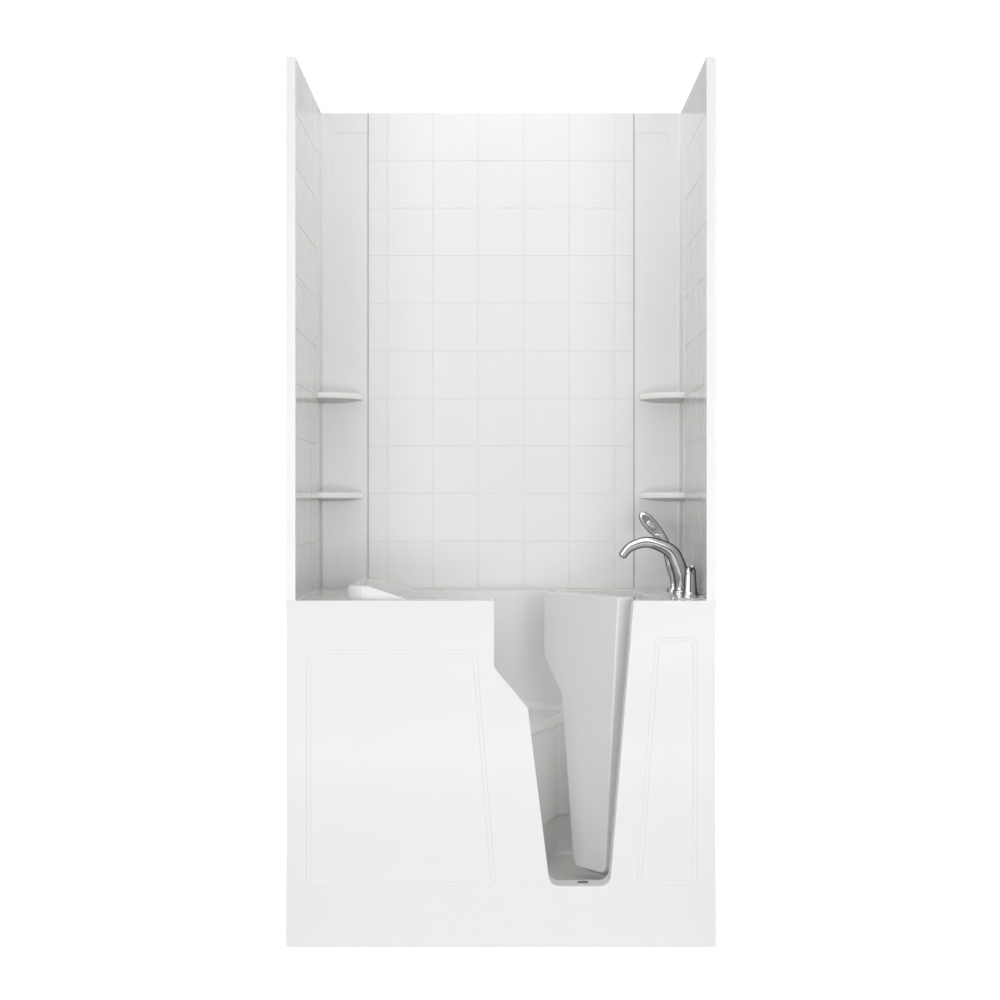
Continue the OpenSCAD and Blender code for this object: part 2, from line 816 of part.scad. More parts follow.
// A quarter-round shelf in the right-hand corner, dished on top, with a tapering underside
module shelf(rise) {
    top = deck_h + rise;
    lip = 8;
    dish_in = corner_r + 2;
    color(acrylic) difference() {
        intersection() {
            translate([wall_x, front + wall_depth, top]) rotate([0, 0, 180])
                rotate_extrude(angle = 90, $fn = 96) polygon(rounded([
                    [0, -shelf_t, 0], [shelf_r - shelf_t * 1.6, -shelf_t, 6],
                    [shelf_r, -shelf_t * 0.45, 5], [shelf_r, 0, 4], [0, 0, 0]], 5));
            block([0, 0, 0], [wall_x, wall_depth, wall_top]);
        }
        corner_space(top);
        translate([wall_x - dish_in, front + wall_depth - dish_in, top - 3]) rotate(180)
            linear_extrude(10) intersection() {
                circle(r = shelf_r - lip - dish_in, $fn = 96);
                square(shelf_r);
            }
    }
}

// What the rounded corner of the panel fills behind a shelf
module corner_space(top) {
    difference() {
        block([wall_x - corner_r, wall_depth - corner_r, top - 2 * shelf_t],
            [wall_x + cut, wall_depth + cut, top + cut]);
        post(wall_x - corner_r, wall_depth - corner_r, corner_r, top - 3 * shelf_t, top + 2 * cut);
    }
}

// A smooth tube or handle in an X-Z plane through stations [x, z, half height, half width]
function spline(a, b, c, d, t) = 0.5 * (2 * b + (c - a) * t + (2 * a - 5 * b + 4 * c - d) * t * t
    + (3 * b - a - 3 * c + d) * t * t * t);
function stations(s, n) = [for (i = [0:len(s) - 2]) for (k = [0:n - 1 + (i == len(s) - 2 ? 1 : 0)])
    spline(s[max(i - 1, 0)], s[i], s[i + 1], s[min(i + 2, len(s) - 1)], k / n)];
function along(s, i) = unit([s[min(i + 1, len(s) - 1)][0] - s[max(i - 1, 0)][0],
    s[min(i + 1, len(s) - 1)][1] - s[max(i - 1, 0)][1]]);

module swept(knots, sides, steps) {
    s = stations(knots, steps);
    points = [for (i = [0:len(s) - 1]) let (u = along(s, i)) for (k = [0:sides - 1])
        let (a = 360 * k / sides)
        [s[i][0] - u.y * s[i][2] * cos(a), s[i][3] * sin(a), s[i][1] + u.x * s[i][2] * cos(a)]];
    walls = [for (i = [0:len(s) - 2]) for (k = [0:sides - 1])
        let (a = i * sides + k, b = i * sides + (k + 1) % sides)
        each [[a, b, b + sides], [a, b + sides, a + sides]]];
    first = [for (k = [1:sides - 2]) [0, k + 1, k]];
    last_ring = (len(s) - 1) * sides;
    last = [for (k = [1:sides - 2]) [last_ring, last_ring + k, last_ring + k + 1]];
    polyhedron(points, concat(walls, first, last));
}

ledge_top = deck_h + ledge_h;
spout_low = ledge_top + ring_h;
spout_top = ledge_top + spout_rise - 16;
tip_x = spout_x - spout_reach;
tip_z = spout_top - 41;
spout_knots = [
    [spout_x, spout_low + 2, 17.6, 17.6], [spout_x + 1, spout_low + 36, 21, 21],
    [spout_x - 8, spout_low + 74, 22, 21], [spout_x - 27, spout_low + 113, 21, 20],
    [spout_x - 62, spout_top - 10, 18, 18], [spout_x - 106, spout_top, 16, 17],
    [tip_x + 24, spout_top - 15, 14, 15], [tip_x, tip_z, spout_tip_r, spout_tip_r + 1]];
module spout() {
    color(steel) union() {
        translate([0, front + spout_depth, 0]) swept(spout_knots, 24, 5);
        post(spout_x, spout_depth, 18.4, spout_low, spout_low + 6);
    }
}

module spout_aerator() {
    line = stations(spout_knots, 5);
    out = along(line, len(line) - 1);
    color("dimgray") translate([tip_x, front + spout_depth, tip_z])
        rotate([0, atan2(out.x, out.y), 0]) translate([0, 0, 0.1]) difference() {
            cylinder(r = spout_tip_r - 2.5, h = 4);
            translate([0, 0, 2]) cylinder(r = spout_tip_r - 4.5, h = 5);
        }
}

// A round ring with a rounded top edge, under a deck fitting
module deck_ring(x, depth, r, bore, h) {
    translate([x, front + depth, ledge_top]) rotate_extrude() polygon(rounded([
        [bore, 0, 0], [r, 0, 0], [r, h, h * 0.45], [bore, h, 0]], 5));
}

module spout_ring() {
    color(steel) deck_ring(spout_x, spout_depth, 25, 9, ring_h);
}

// The mixer: a tapered body with a cap that turns for warmth and a lever that lifts for flow
cap_gap = 1;
cap_z = ledge_top + mixer_h + cap_gap;
cap_r = mixer_r - 4;
module mixer_body() {
    color(steel) translate([mixer_x, front + mixer_depth, ledge_top]) rotate_extrude()
        polygon(rounded([
            [spindle_bore, 0, 0], [mixer_r + 4, 0, 0], [mixer_r + 4, 4, 2], [mixer_r, 10, 6],
            [cap_r, mixer_h, 1], [spindle_bore, mixer_h, 0]], 5));
}

pivot_z = cap_z + 9;
module mixer_hub() {
    slot = 8.6;
    color(steel) difference() {
        translate([mixer_x, front + mixer_depth, cap_z]) rotate_extrude() polygon(rounded([
            [0, 0, 0], [cap_r, 0, 1], [cap_r, 8, 3], [cap_r * 0.62, 19, 8], [0, 20, 0]], 6));
        block([mixer_x - slot / 2, mixer_depth - 2 * cap_r, cap_z + 3],
            [mixer_x + slot / 2, mixer_depth + 5, cap_z + 30]);
        bar_x(mixer_depth, pivot_z, 2.05, mixer_x - 9, mixer_x + 9);
    }
    color(steel) post(mixer_x, mixer_depth, 7, ledge_top - 30, cap_z);
}

module mixer_lever() {
    reach = 62;
    color(steel) union() {
        hull() {
            bar_x(mixer_depth, pivot_z, 4.5, mixer_x - 4, mixer_x + 4);
            bar_x(mixer_depth - cap_r, pivot_z + 4, 4, mixer_x - 4, mixer_x + 4);
        }
        hull() {
            bar_x(mixer_depth - cap_r, pivot_z + 4, 4, mixer_x - 4, mixer_x + 4);
            translate([mixer_x, front + mixer_depth - cap_r - 12, pivot_z + 7])
                scale([1.5, 1, 0.8]) sphere(r = 5, $fn = 24);
        }
        hull() {
            translate([mixer_x, front + mixer_depth - cap_r - 12, pivot_z + 7])
                scale([1.5, 1, 0.8]) sphere(r = 5, $fn = 24);
            translate([mixer_x, front + mixer_depth - reach, pivot_z + 16])
                scale([1.7, 1, 0.7]) sphere(r = 5, $fn = 24);
        }
        bar_x(mixer_depth, pivot_z, 2, mixer_x - 8, mixer_x + 8);
    }
}

// The valve hangs under the deck, with the hot and cold inlets side by side towards the outside
inlet_r = 10.65;
inlet_len = 22;
inlet_apart = 28;
inlet_neck = 2;
valve_r = 18;
valve_z = deck_h - 95;
spindle_bore = 7.05;
module mixer_valve() {
    color("peru") difference() {
        union() {
            post(mixer_x, mixer_depth, mixer_shank, valve_z, ledge_top - 0.5);
            post(mixer_x, mixer_depth, valve_r, valve_z - valve_r, valve_z + valve_r);
            bar_y(mixer_x, valve_z, valve_r, mixer_depth - inlet_apart - 14,
                mixer_depth + inlet_apart + 14);
            for (side = [-1, 1]) {
                inlet_depth = mixer_depth + side * inlet_apart;
                neck_x = mixer_x + valve_r + inlet_neck;
                bar_x(inlet_depth, valve_z, inlet_r + 2, mixer_x, mixer_x + valve_r);
                bar_x(inlet_depth, valve_z, inlet_r - 1.2, mixer_x, neck_x);
                bar_x(inlet_depth, valve_z, inlet_r, neck_x, neck_x + inlet_len);
            }
        }
        post(mixer_x, mixer_depth, spindle_bore, valve_z + 4, ledge_top);
    }
}

// The hand shower stands in a guide on the deck and lifts out
shower_low = ledge_top + 14;
shower_top = ledge_top + shower_rise;
head_lean = 42;
face_depth = 9;
module hand_shower() {
    color(steel) union() {
        difference() {
            translate([0, front + shower_depth, 0]) swept([
                [shower_x, shower_low + 2, 9.5, 9.5], [shower_x - 3, shower_low + 30, 11, 11],
                [shower_x - 12, shower_low + 62, 12.5, 12], [shower_x - 26, shower_top - 100, 13, 12],
                [shower_x - 45, shower_top - 70, 17, 13], [shower_x - 68, shower_top - 44, 20, 14],
                [shower_x - 90, shower_top - 19, 18, 12], [shower_x - 103, shower_top - 4, 8, 6]],
                20, 4);
            block([shower_x - 150, shower_depth - 60, shower_top - 70],
                [shower_x, shower_depth - face_depth, shower_top + 20]);
        }
        post(shower_x, shower_depth, 10, shower_low, shower_low + 6);
        post(shower_x, shower_depth, 7, ledge_top - 24, shower_low + 1);
    }
}

// The spray face is set on the flat front of the head
module hand_shower_face() {
    color("dimgray") translate([shower_x - 69, front + shower_depth - face_depth, shower_top - 43])
        rotate([90, 0, 0]) rotate(head_lean) linear_extrude(2.5) union() {
            circle(r = 13);
            translate([0, 12]) circle(r = 10);
            translate([0, -12]) circle(r = 10);
        }
}

module hand_shower_guide() {
    color(steel) difference() {
        union() {
            deck_ring(shower_x, shower_depth, 21, spindle_bore, 6);
            translate([shower_x, front + shower_depth, ledge_top]) rotate_extrude()
                polygon([[spindle_bore, 0], [15, 0], [12, 13], [spindle_bore, 13]]);
            post(shower_x, shower_depth, shower_shank, deck_h - 45, ledge_top + 1);
        }
        post(shower_x, shower_depth, spindle_bore, deck_h - 60, shower_low + 5);
    }
}

// Hexagonal nuts that clamp the deck fittings from below
module deck_nuts() {
    color("peru") {
        for (place = [[mixer_x, mixer_depth, mixer_shank], [spout_x, spout_depth, spout_shank],
            [shower_x, shower_depth, shower_shank]])
            difference() {
                translate([place.x, front + place.y, deck_h - shell_t - 12])
                    cylinder(r = place.z + 8, h = 12, $fn = 6);
                post(place.x, place.y, place.z + 0.05, deck_h - shell_t - 14, deck_h);
            }
    }
}

// Copper pipes: from the valve to the spout, with the spout's threaded shank
feed_r = 7.5;
module supply_pipes() {
    feed_z = valve_z - valve_r - 14;
    bend = 22;
    color("peru") {
        post(spout_x, spout_depth, spout_shank, feed_z + bend, ledge_top - 0.5);
        post(spout_x, spout_depth, 8.9, feed_z + bend, spout_low - 0.2);
        translate([spout_x, front + spout_depth - bend, feed_z + bend]) rotate([90, 0, 90])
            rotate_extrude(angle = -90) translate([bend, 0]) circle(r = feed_r, $fn = 24);
        bar_y(spout_x, feed_z, feed_r, mixer_depth, spout_depth - bend);
        post(mixer_x - 10, mixer_depth, feed_r, feed_z, valve_z - valve_r);
    }
}

// Waste: a pop-up stopper in the foot-well, worked by the knob on the overflow
shoe_top = well_h - shell_t;
pipe_z = shoe_top - 36;
tee_x = basin_right + shell_t + pipe_r + 12;
module drain_flange() {
    color(steel) difference() {
        union() {
            post(drain_x, drain_depth, drain_r, well_h, well_h + 3);
            post(drain_x, drain_depth, drain_bore_r + 3.9, shoe_top - 14, well_h + 1);
        }
        post(drain_x, drain_depth, drain_bore_r, well_h - 6, well_h + 4);
        difference() {
            post(drain_x, drain_depth, drain_bore_r, shoe_top - 16, well_h);
            translate([drain_x - drain_bore_r - 1, front + drain_depth - 2.5, shoe_top - 14])
                cube([2 * drain_bore_r + 2, 5, 6]);
            post(drain_x, drain_depth, 6, shoe_top - 14, shoe_top - 8);
        }
        post(drain_x, drain_depth, 3.05, shoe_top - 20, well_h);
    }
}

module drain_stopper() {
    cap = drain_bore_r + 7;
    color(steel) {
        translate([drain_x, front + drain_depth, well_h + 3.4]) rotate_extrude() polygon(rounded([
            [0, 0, 0], [cap, 0, 0], [cap, 3, 1.5], [cap * 0.5, 6, 12], [0, 6.5, 0]], 5));
        post(drain_x, drain_depth, 3, shoe_top - 26, well_h + 4);
    }
}

module drain_shoe() {
    outer = drain_bore_r + 8;
    color("gainsboro") difference() {
        union() {
            post(drain_x, drain_depth, outer + 8, shoe_top - 6, shoe_top);
            post(drain_x, drain_depth, outer, pipe_z - pipe_r - 3, shoe_top);
            bar_x(drain_depth, pipe_z, pipe_r + 3, drain_x, drain_x + outer + 26);
        }
        post(drain_x, drain_depth, drain_bore_r + 3.95, pipe_z, shoe_top + 1);
        post(drain_x, drain_depth, drain_bore_r, pipe_z - pipe_r, shoe_top + 1);
        bar_x(drain_depth, pipe_z, pipe_r - pipe_t, drain_x, drain_x + outer + 30);
        bar_x(drain_depth, pipe_z, pipe_r + 0.05, drain_x + outer + 6, drain_x + outer + 30);
    }
}

pipe_start = drain_x + drain_bore_r + 8 + 7;
module waste_pipe() {
    color("gainsboro") difference() {
        bar_x(drain_depth, pipe_z, pipe_r, pipe_start, tee_x - pipe_r - 10);
        bar_x(drain_depth, pipe_z, pipe_r - pipe_t, pipe_start - cut, tee_x - pipe_r);
    }
}

module waste_tee() {
    color("gainsboro") difference() {
        union() {
            post(tee_x, drain_depth, pipe_r + 3, pipe_z - 42, pipe_z + 46);
            bar_x(drain_depth, pipe_z, pipe_r + 3, tee_x - pipe_r - 30, tee_x);
        }
        post(tee_x, drain_depth, pipe_r - pipe_t, pipe_z - 50, pipe_z + 50);
        post(tee_x, drain_depth, pipe_r + 0.05, pipe_z + 26, pipe_z + 50);
        post(tee_x, drain_depth, pipe_r - 0.95, pipe_z - 50, pipe_z - 26);
        bar_x(drain_depth, pipe_z, pipe_r - pipe_t, tee_x - pipe_r - 40, tee_x);
        bar_x(drain_depth, pipe_z, pipe_r + 0.05, tee_x - pipe_r - 40, tee_x - pipe_r - 9);
    }
}

tail_low = 24;
module tailpiece() {
    color("gainsboro") difference() {
        union() {
            post(tee_x, drain_depth, pipe_r, tail_low, pipe_z - 43);
            post(tee_x, drain_depth, pipe_r - 1, tail_low, pipe_z - 27);
        }
        post(tee_x, drain_depth, pipe_r - pipe_t, tail_low - cut, pipe_z);
    }
}

// The overflow pipe runs back level with the drain and down to the tee
module overflow_pipe() {
    bend = 34;
    color("gainsboro") difference() {
        union() {
            post(tee_x, drain_depth, pipe_r, pipe_z + 27, overflow_z - bend);
            translate([tee_x, front + drain_depth - bend, overflow_z - bend]) rotate([90, 0, 90])
                rotate_extrude(angle = 90) translate([bend, 0]) circle(r = pipe_r, $fn = 32);
            bar_y(tee_x, overflow_z, pipe_r, overflow_depth + pipe_r + 5, drain_depth - bend);
        }
        post(tee_x, drain_depth, pipe_r - pipe_t, pipe_z + 20, overflow_z - bend);
        translate([tee_x, front + drain_depth - bend, overflow_z - bend]) rotate([90, 0, 90])
            rotate_extrude(angle = 90) translate([bend, 0])
                circle(r = pipe_r - pipe_t, $fn = 32);
        bar_y(tee_x, overflow_z, pipe_r - pipe_t, overflow_depth, drain_depth - bend);
    }
}

module overflow_elbow() {
    outside = basin_right + shell_t;
    color("gainsboro") difference() {
        union() {
            bar_x(overflow_depth, overflow_z, overflow_r - 4, outside, outside + 6);
            bar_x(overflow_depth, overflow_z, pipe_r + 3, outside, tee_x + pipe_r + 3);
            bar_y(tee_x, overflow_z, pipe_r + 3, overflow_depth, overflow_depth + pipe_r + 34);
        }
        bar_x(overflow_depth, overflow_z, pipe_r - pipe_t, outside - cut, tee_x + pipe_r - pipe_t);
        bar_y(tee_x, overflow_z, pipe_r - pipe_t, overflow_depth, overflow_depth + pipe_r + 40);
        bar_y(tee_x, overflow_z, pipe_r + 0.05, overflow_depth + pipe_r + 4,
            overflow_depth + pipe_r + 40);
    }
}

plate_t = 5;
module overflow_plate() {
    inside = basin_right - plate_t;
    color(steel) difference() {
        bar_x(overflow_depth, overflow_z, overflow_r, inside, basin_right);
        bar_x(overflow_depth, overflow_z, 5.05, inside - cut, basin_right + cut);
        for (a = [30:60:330]) translate([inside - cut, front + overflow_depth, overflow_z])
            rotate([a, 0, 0]) translate([0, 0, overflow_r - 11]) rotate([0, 90, 0])
                cylinder(r = 4, h = plate_t + 2);
    }
}

module overflow_knob() {
    face = basin_right - plate_t - 0.5;
    color(steel) {
        bar_x(overflow_depth, overflow_z, 5, face - 4, basin_right + 12);
        difference() {
            bar_x(overflow_depth, overflow_z, 17, face - 14, face);
            for (a = [0:30:330]) translate([face - 15, front + overflow_depth, overflow_z])
                rotate([a, 0, 0]) translate([0, 0, 19]) rotate([0, 90, 0])
                    cylinder(r = 3.5, h = 20);
        }
    }
}

// Steel frame: a welded base, posts, rails under the deck and a cradle under the seat
frame_top = frame_z + tube;
rail_z = deck_h - shell_t - tube;
end_rail_z = deck_h - 240;
frame_x = half_w - shell_t - 8;
frame_front = apron_return + 26;
frame_back = tub_d - shell_t - 8;
inner_d = frame_back - frame_front - 2 * tube;

// A square tube from corner a, tube by tube by length along axis 0, 1 or 2
module square_tube(a, length, axis) {
    outer = [for (i = [0:2]) i == axis ? length : tube];
    inner = [for (i = [0:2]) i == axis ? length + 2 : tube - 2 * tube_t];
    inset = [for (i = [0:2]) i == axis ? -1 : tube_t];
    translate([a.x, front + a.y, a.z]) difference() {
        cube(outer);
        translate(inset) cube(inner);
    }
}

module base_frame() {
    color("slategray") difference() {
        union() {
            for (depth = [frame_front, frame_back - tube])
                square_tube([-frame_x, depth, frame_z], 2 * frame_x, 0);
            for (x = [-frame_x, foot_mid - tube / 2, frame_x - tube])
                square_tube([x, frame_front + tube, frame_z], inner_d, 1);
        }
        for (foot = feet) post(foot.x, foot.y, stud_r + 0.05, 0, frame_top + cut);
    }
}

foot_in = 46;
foot_mid = well_right - 15;
feet = [for (depth = [frame_front + tube / 2, frame_back - tube / 2])
    for (x = [-frame_x + foot_in, foot_mid, frame_x - foot_in]) [x, depth]];

module foot(i) {
    color(steel) {
        post(feet[i].x, feet[i].y, pad_r, 0, pad_h);
        translate([feet[i].x, front + feet[i].y, pad_h])
            cylinder(r1 = pad_r * 0.7, r2 = stud_r + 3, h = 6);
        post(feet[i].x, feet[i].y, stud_r, pad_h, frame_top + 16);
    }
}

module foot_nuts() {
    color(steel) for (foot = feet) difference() {
        for (z = [frame_z - 8, frame_top]) translate([foot.x, front + foot.y, z])
            cylinder(r = stud_r + 5, h = 8, $fn = 6);
        post(foot.x, foot.y, stud_r + 0.05, frame_z - 10, frame_top + 10);
    }
}

module upright_posts() {
    color("slategray") for (x = [-frame_x, frame_x - tube])
        for (depth = [frame_front, frame_back - tube])
            square_tube([x, depth, frame_top], rail_z - frame_top, 2);
}

// Rails under the front and rear deck, and lower ones between the posts at the ends
module top_rails() {
    color("slategray") {
        square_tube([-frame_x, frame_back - tube, rail_z], 2 * frame_x, 0);
        square_tube([-frame_x, frame_front, rail_z], frame_x + door_wide_left - tube, 0);
        square_tube([door_top_right + tube, frame_front, rail_z],
            frame_x - door_top_right - tube, 0);
        for (x = [-frame_x, frame_x - tube])
            square_tube([x, frame_front + tube, end_rail_z], inner_d, 1);
    }
}

// Two beams under the seat, each on two legs that stand on the base frame
module seat_support() {
    beam_z = seat_h - shell_t - tube;
    peg = 20;
    color("slategray") for (x = [120 - basin_left, well_right - toe_in - tube - 15]) {
        square_tube([x, frame_front + tube + peg, beam_z], inner_d - 2 * peg, 1);
        for (depth = [frame_front, frame_back - tube])
            square_tube([x, depth, frame_top], beam_z + tube - frame_top, 2);
        for (depth = [frame_front + tube, frame_back - tube - peg])
            block([x + tube_t, depth, beam_z + tube_t],
                [x + tube - tube_t, depth + peg, beam_z + tube - tube_t]);
    }
}

module right_shelf(rise) { shelf(rise); }
module left_shelf(rise) { mirror([1, 0, 0]) shelf(rise); }

tub_shell();
front_apron();
door_frame();
door_panel();
door_inner_panel();
door_seal();
jamb_hinge(hinge_high_z);  // upper_jamb_hinge
jamb_hinge(hinge_low_z);  // lower_jamb_hinge
door_hinge(hinge_high_z);  // upper_door_hinge
door_hinge(hinge_low_z);  // lower_door_hinge
hinge_pin(hinge_high_z);  // upper_hinge_pin
hinge_pin(hinge_low_z);  // lower_hinge_pin
latch_plate();
latch_tongue();
latch_lever();
latch_keeper();
sill_strainer();
drain_flange();
drain_stopper();
drain_shoe();
waste_pipe();
waste_tee();
tailpiece();
overflow_pipe();
overflow_elbow();
overflow_plate();
overflow_knob();
base_frame();
upright_posts();
top_rails();
seat_support();
foot(0);  // foot_1
foot(1);  // foot_2
foot(2);  // foot_3
foot(3);  // foot_4
foot(4);  // foot_5
foot(5);  // foot_6
foot_nuts();
back_panel();
mirror([1, 0, 0]) corner_panel();  // left_corner_panel
corner_panel();  // right_corner_panel
mirror([1, 0, 0]) side_panel();  // left_side_panel
side_panel();  // right_side_panel
left_shelf(shelf_low);  // left_lower_shelf
right_shelf(shelf_low);  // right_lower_shelf
left_shelf(shelf_high);  // left_upper_shelf
right_shelf(shelf_high);  // right_upper_shelf
seam_strips();
spout();
spout_ring();
spout_aerator();
mixer_body();
mixer_valve();
mixer_hub();
mixer_lever();
hand_shower();
hand_shower_face();
hand_shower_guide();
deck_nuts();
supply_pipes();
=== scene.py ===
"""Walk-in bathtub with a tiled wall surround and a deck-mounted tub filler, dressed for the camera."""
import math

import bmesh
import bpy
from mathutils import Matrix, Vector
from mathutils.bvhtree import BVHTree


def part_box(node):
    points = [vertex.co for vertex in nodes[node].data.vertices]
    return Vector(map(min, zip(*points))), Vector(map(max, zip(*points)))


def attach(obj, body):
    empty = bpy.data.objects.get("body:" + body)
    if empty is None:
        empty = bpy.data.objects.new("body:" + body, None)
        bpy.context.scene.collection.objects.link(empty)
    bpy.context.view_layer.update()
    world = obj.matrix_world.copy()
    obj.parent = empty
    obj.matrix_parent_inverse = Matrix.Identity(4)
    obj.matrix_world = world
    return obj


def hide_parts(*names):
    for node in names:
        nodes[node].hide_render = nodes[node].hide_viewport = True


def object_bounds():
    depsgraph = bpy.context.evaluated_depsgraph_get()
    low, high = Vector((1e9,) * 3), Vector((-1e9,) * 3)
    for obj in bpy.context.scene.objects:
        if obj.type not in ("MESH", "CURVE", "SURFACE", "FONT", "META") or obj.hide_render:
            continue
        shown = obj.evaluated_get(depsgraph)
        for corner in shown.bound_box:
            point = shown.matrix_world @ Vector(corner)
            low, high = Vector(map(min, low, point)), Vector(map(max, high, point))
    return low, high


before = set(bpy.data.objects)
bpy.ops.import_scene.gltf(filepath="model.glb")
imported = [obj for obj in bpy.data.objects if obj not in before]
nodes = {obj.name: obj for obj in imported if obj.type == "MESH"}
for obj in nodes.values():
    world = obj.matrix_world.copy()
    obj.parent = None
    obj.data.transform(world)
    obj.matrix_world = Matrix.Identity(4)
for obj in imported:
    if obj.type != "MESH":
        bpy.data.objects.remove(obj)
cad_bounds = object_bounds()
scene = bpy.context.scene

# The studio. The camera stands 5.1 m in front of the apron at 1.23 m above the floor and looks
# straight back, as in the photograph. Soft lights in front of the tub and above it and an even
# room light do the lighting. Reflections see a dark room with a bright ring of softboxes.
front_y = cad_bounds[0][1]
apron_to_camera = 5.1
camera_height = 1.231
camera_data = bpy.data.cameras.new("camera")
camera_data.lens = 66.04
camera_data.sensor_width = 36
camera_data.shift_x = -0.001
camera_data.shift_y = 0.005
camera_data.clip_end = 60
camera = bpy.data.objects.new("camera", camera_data)
camera.location = (0, front_y - apron_to_camera, camera_height)
camera.rotation_euler = (math.pi / 2, 0, 0)
scene.collection.objects.link(camera)
scene.camera = camera
scene.view_settings.view_transform = "Standard"


def new_node(tree, kind, values=None, **settings):
    """Adds a node to a tree, first with its settings and then the values of its inputs."""
    added = tree.nodes.new(kind)
    for setting, value in settings.items():
        setattr(added, setting, value)
    for socket, value in (values or {}).items():
        added.inputs[socket].default_value = value
    return added


def wire(tree, *joins):
    """Links nodes of a tree. A join is (source, output socket, target, input socket)."""
    for source, output, target, entry in joins:
        tree.links.new(source.outputs[output], target.inputs[entry])


white = (1, 1, 1, 1)
room_light = 0.425
ring_middle_x, ring_middle_z = -0.06, 0.16
ring_inside, ring_outside = 0.1, 0.3
ring_levels = ((0.2, ring_inside), (0.31, 1.0), (0.88, 1.0), (0.97, ring_outside))
room = bpy.data.worlds.new("room")
room.use_nodes = True
scene.world = room
tree = room.node_tree
tree.nodes.clear()
rays = new_node(tree, "ShaderNodeLightPath")
shown_ray = new_node(tree, "ShaderNodeMath", operation="MAXIMUM")
ambient = new_node(tree, "ShaderNodeBackground", {"Color": white, "Strength": room_light})
backdrop = new_node(tree, "ShaderNodeBackground", {"Color": white, "Strength": 1.0})
mirrored = new_node(tree, "ShaderNodeBackground")
looking = new_node(tree, "ShaderNodeTexCoord")
off_middle = new_node(tree, "ShaderNodeVectorMath",
                      {1: (1, 0, 1), 2: (-ring_middle_x, 0, -ring_middle_z)},
                      operation="MULTIPLY_ADD")
off_by = new_node(tree, "ShaderNodeVectorMath", operation="LENGTH")
ring = new_node(tree, "ShaderNodeValToRGB")
ring.color_ramp.interpolation = "EASE"
for distance, level in ring_levels:
    stop = ring.color_ramp.elements.new(distance)
    stop.color = (level, level, level, 1)
ring.color_ramp.elements[0].color = (ring_inside, ring_inside, ring_inside, 1)
ring.color_ramp.elements[-1].color = (ring_outside, ring_outside, ring_outside, 1)
way = new_node(tree, "ShaderNodeSeparateXYZ")
to_right = new_node(tree, "ShaderNodeMapRange",
                    {"From Min": 0.25, "From Max": 0.55, "To Min": 1.8, "To Max": 0.35})
behind = new_node(tree, "ShaderNodeMapRange", {"From Min": -0.1, "From Max": 0.25, "To Max": 0.4})
pick = new_node(tree, "ShaderNodeMixShader")
pick_behind = new_node(tree, "ShaderNodeMixShader")
pick_mirrored = new_node(tree, "ShaderNodeMixShader")
world_out = new_node(tree, "ShaderNodeOutputWorld")
wire(tree,
     (looking, "Generated", off_middle, 0), (off_middle, "Vector", off_by, 0),
     (off_by, "Value", ring, "Fac"), (ring, "Color", mirrored, "Color"),
     (looking, "Generated", way, 0), (way, "X", to_right, "Value"),
     (to_right, "Result", mirrored, "Strength"), (way, "Y", behind, "Value"),
     (behind, "Result", pick_behind, "Fac"), (mirrored, 0, pick_behind, 1),
     (backdrop, 0, pick_behind, 2), (rays, "Is Camera Ray", shown_ray, 0),
     (rays, "Is Transmission Ray", shown_ray, 1), (shown_ray, 0, pick, "Fac"),
     (ambient, 0, pick, 1), (backdrop, 0, pick, 2),
     (rays, "Is Glossy Ray", pick_mirrored, "Fac"), (pick, 0, pick_mirrored, 1),
     (pick_behind, 0, pick_mirrored, 2), (pick_mirrored, 0, world_out, "Surface"))


def softbox(name, place, aim, width, height, watts):
    """A rectangular studio light at place that faces aim and that the gloss doesn't show."""
    lamp = bpy.data.lights.new(name, "AREA")
    lamp.shape = "RECTANGLE"
    lamp.size = width
    lamp.size_y = height
    lamp.energy = watts
    light = bpy.data.objects.new(name, lamp)
    light.visible_glossy = False
    light.visible_camera = False
    light.location = place
    light.rotation_euler = (Vector(aim) - Vector(place)).to_track_quat("-Z", "Y").to_euler()
    scene.collection.objects.link(light)


softbox("right_light", (2.1, -6.0, 1.6), (0, 0, 1.2), width=1.8, height=1.8, watts=61)
softbox("left_light", (-2.1, -6.0, 1.6), (0, 0, 1.2), width=1.8, height=1.8, watts=61)
softbox("upper_light", (0, -0.02, 3.0), (0, 0.02, 1.0), width=1.0, height=0.6, watts=2.5)
softbox("low_light", (0, -4.6, 0.35), (0, 0, 0.9), width=3.0, height=0.6, watts=34)
softbox("well_light", (0.4, 0.12, 0.52), (-0.2, -0.02, 0.42), width=0.25, height=0.5, watts=0.28)

# The floor is a plain pale studio floor. To the camera it is brighter than the lamps make it,
# the more so away from the tub, so that it runs into the white background but keeps the shadow.
floor_x, floor_front_y, floor_back_y = 14, -9, 16
floor_mesh = bpy.data.meshes.new("floor")
floor_mesh.from_pydata([(-floor_x, floor_front_y, 0), (floor_x, floor_front_y, 0),
                        (floor_x, floor_back_y, 0), (-floor_x, floor_back_y, 0)], [], [(0, 1, 2, 3)])
floor = bpy.data.objects.new("floor", floor_mesh)
scene.collection.objects.link(floor)
floor_paint = bpy.data.materials.new("floor_paint")
floor_paint.use_nodes = True
tree = floor_paint.node_tree
tree.nodes.clear()
matte = new_node(tree, "ShaderNodeBsdfDiffuse", {"Color": (0.8, 0.8, 0.8, 1)})
spot = new_node(tree, "ShaderNodeNewGeometry")
away = new_node(tree, "ShaderNodeVectorMath", operation="LENGTH")
spread = new_node(tree, "ShaderNodeMapRange",
                  {"From Min": 0.66, "From Max": 1.5, "To Min": 0.72, "To Max": 1.0})
rays = new_node(tree, "ShaderNodeLightPath")
lift_level = new_node(tree, "ShaderNodeMath", operation="MULTIPLY")
lift = new_node(tree, "ShaderNodeEmission")
both = new_node(tree, "ShaderNodeAddShader")
floor_out = new_node(tree, "ShaderNodeOutputMaterial")
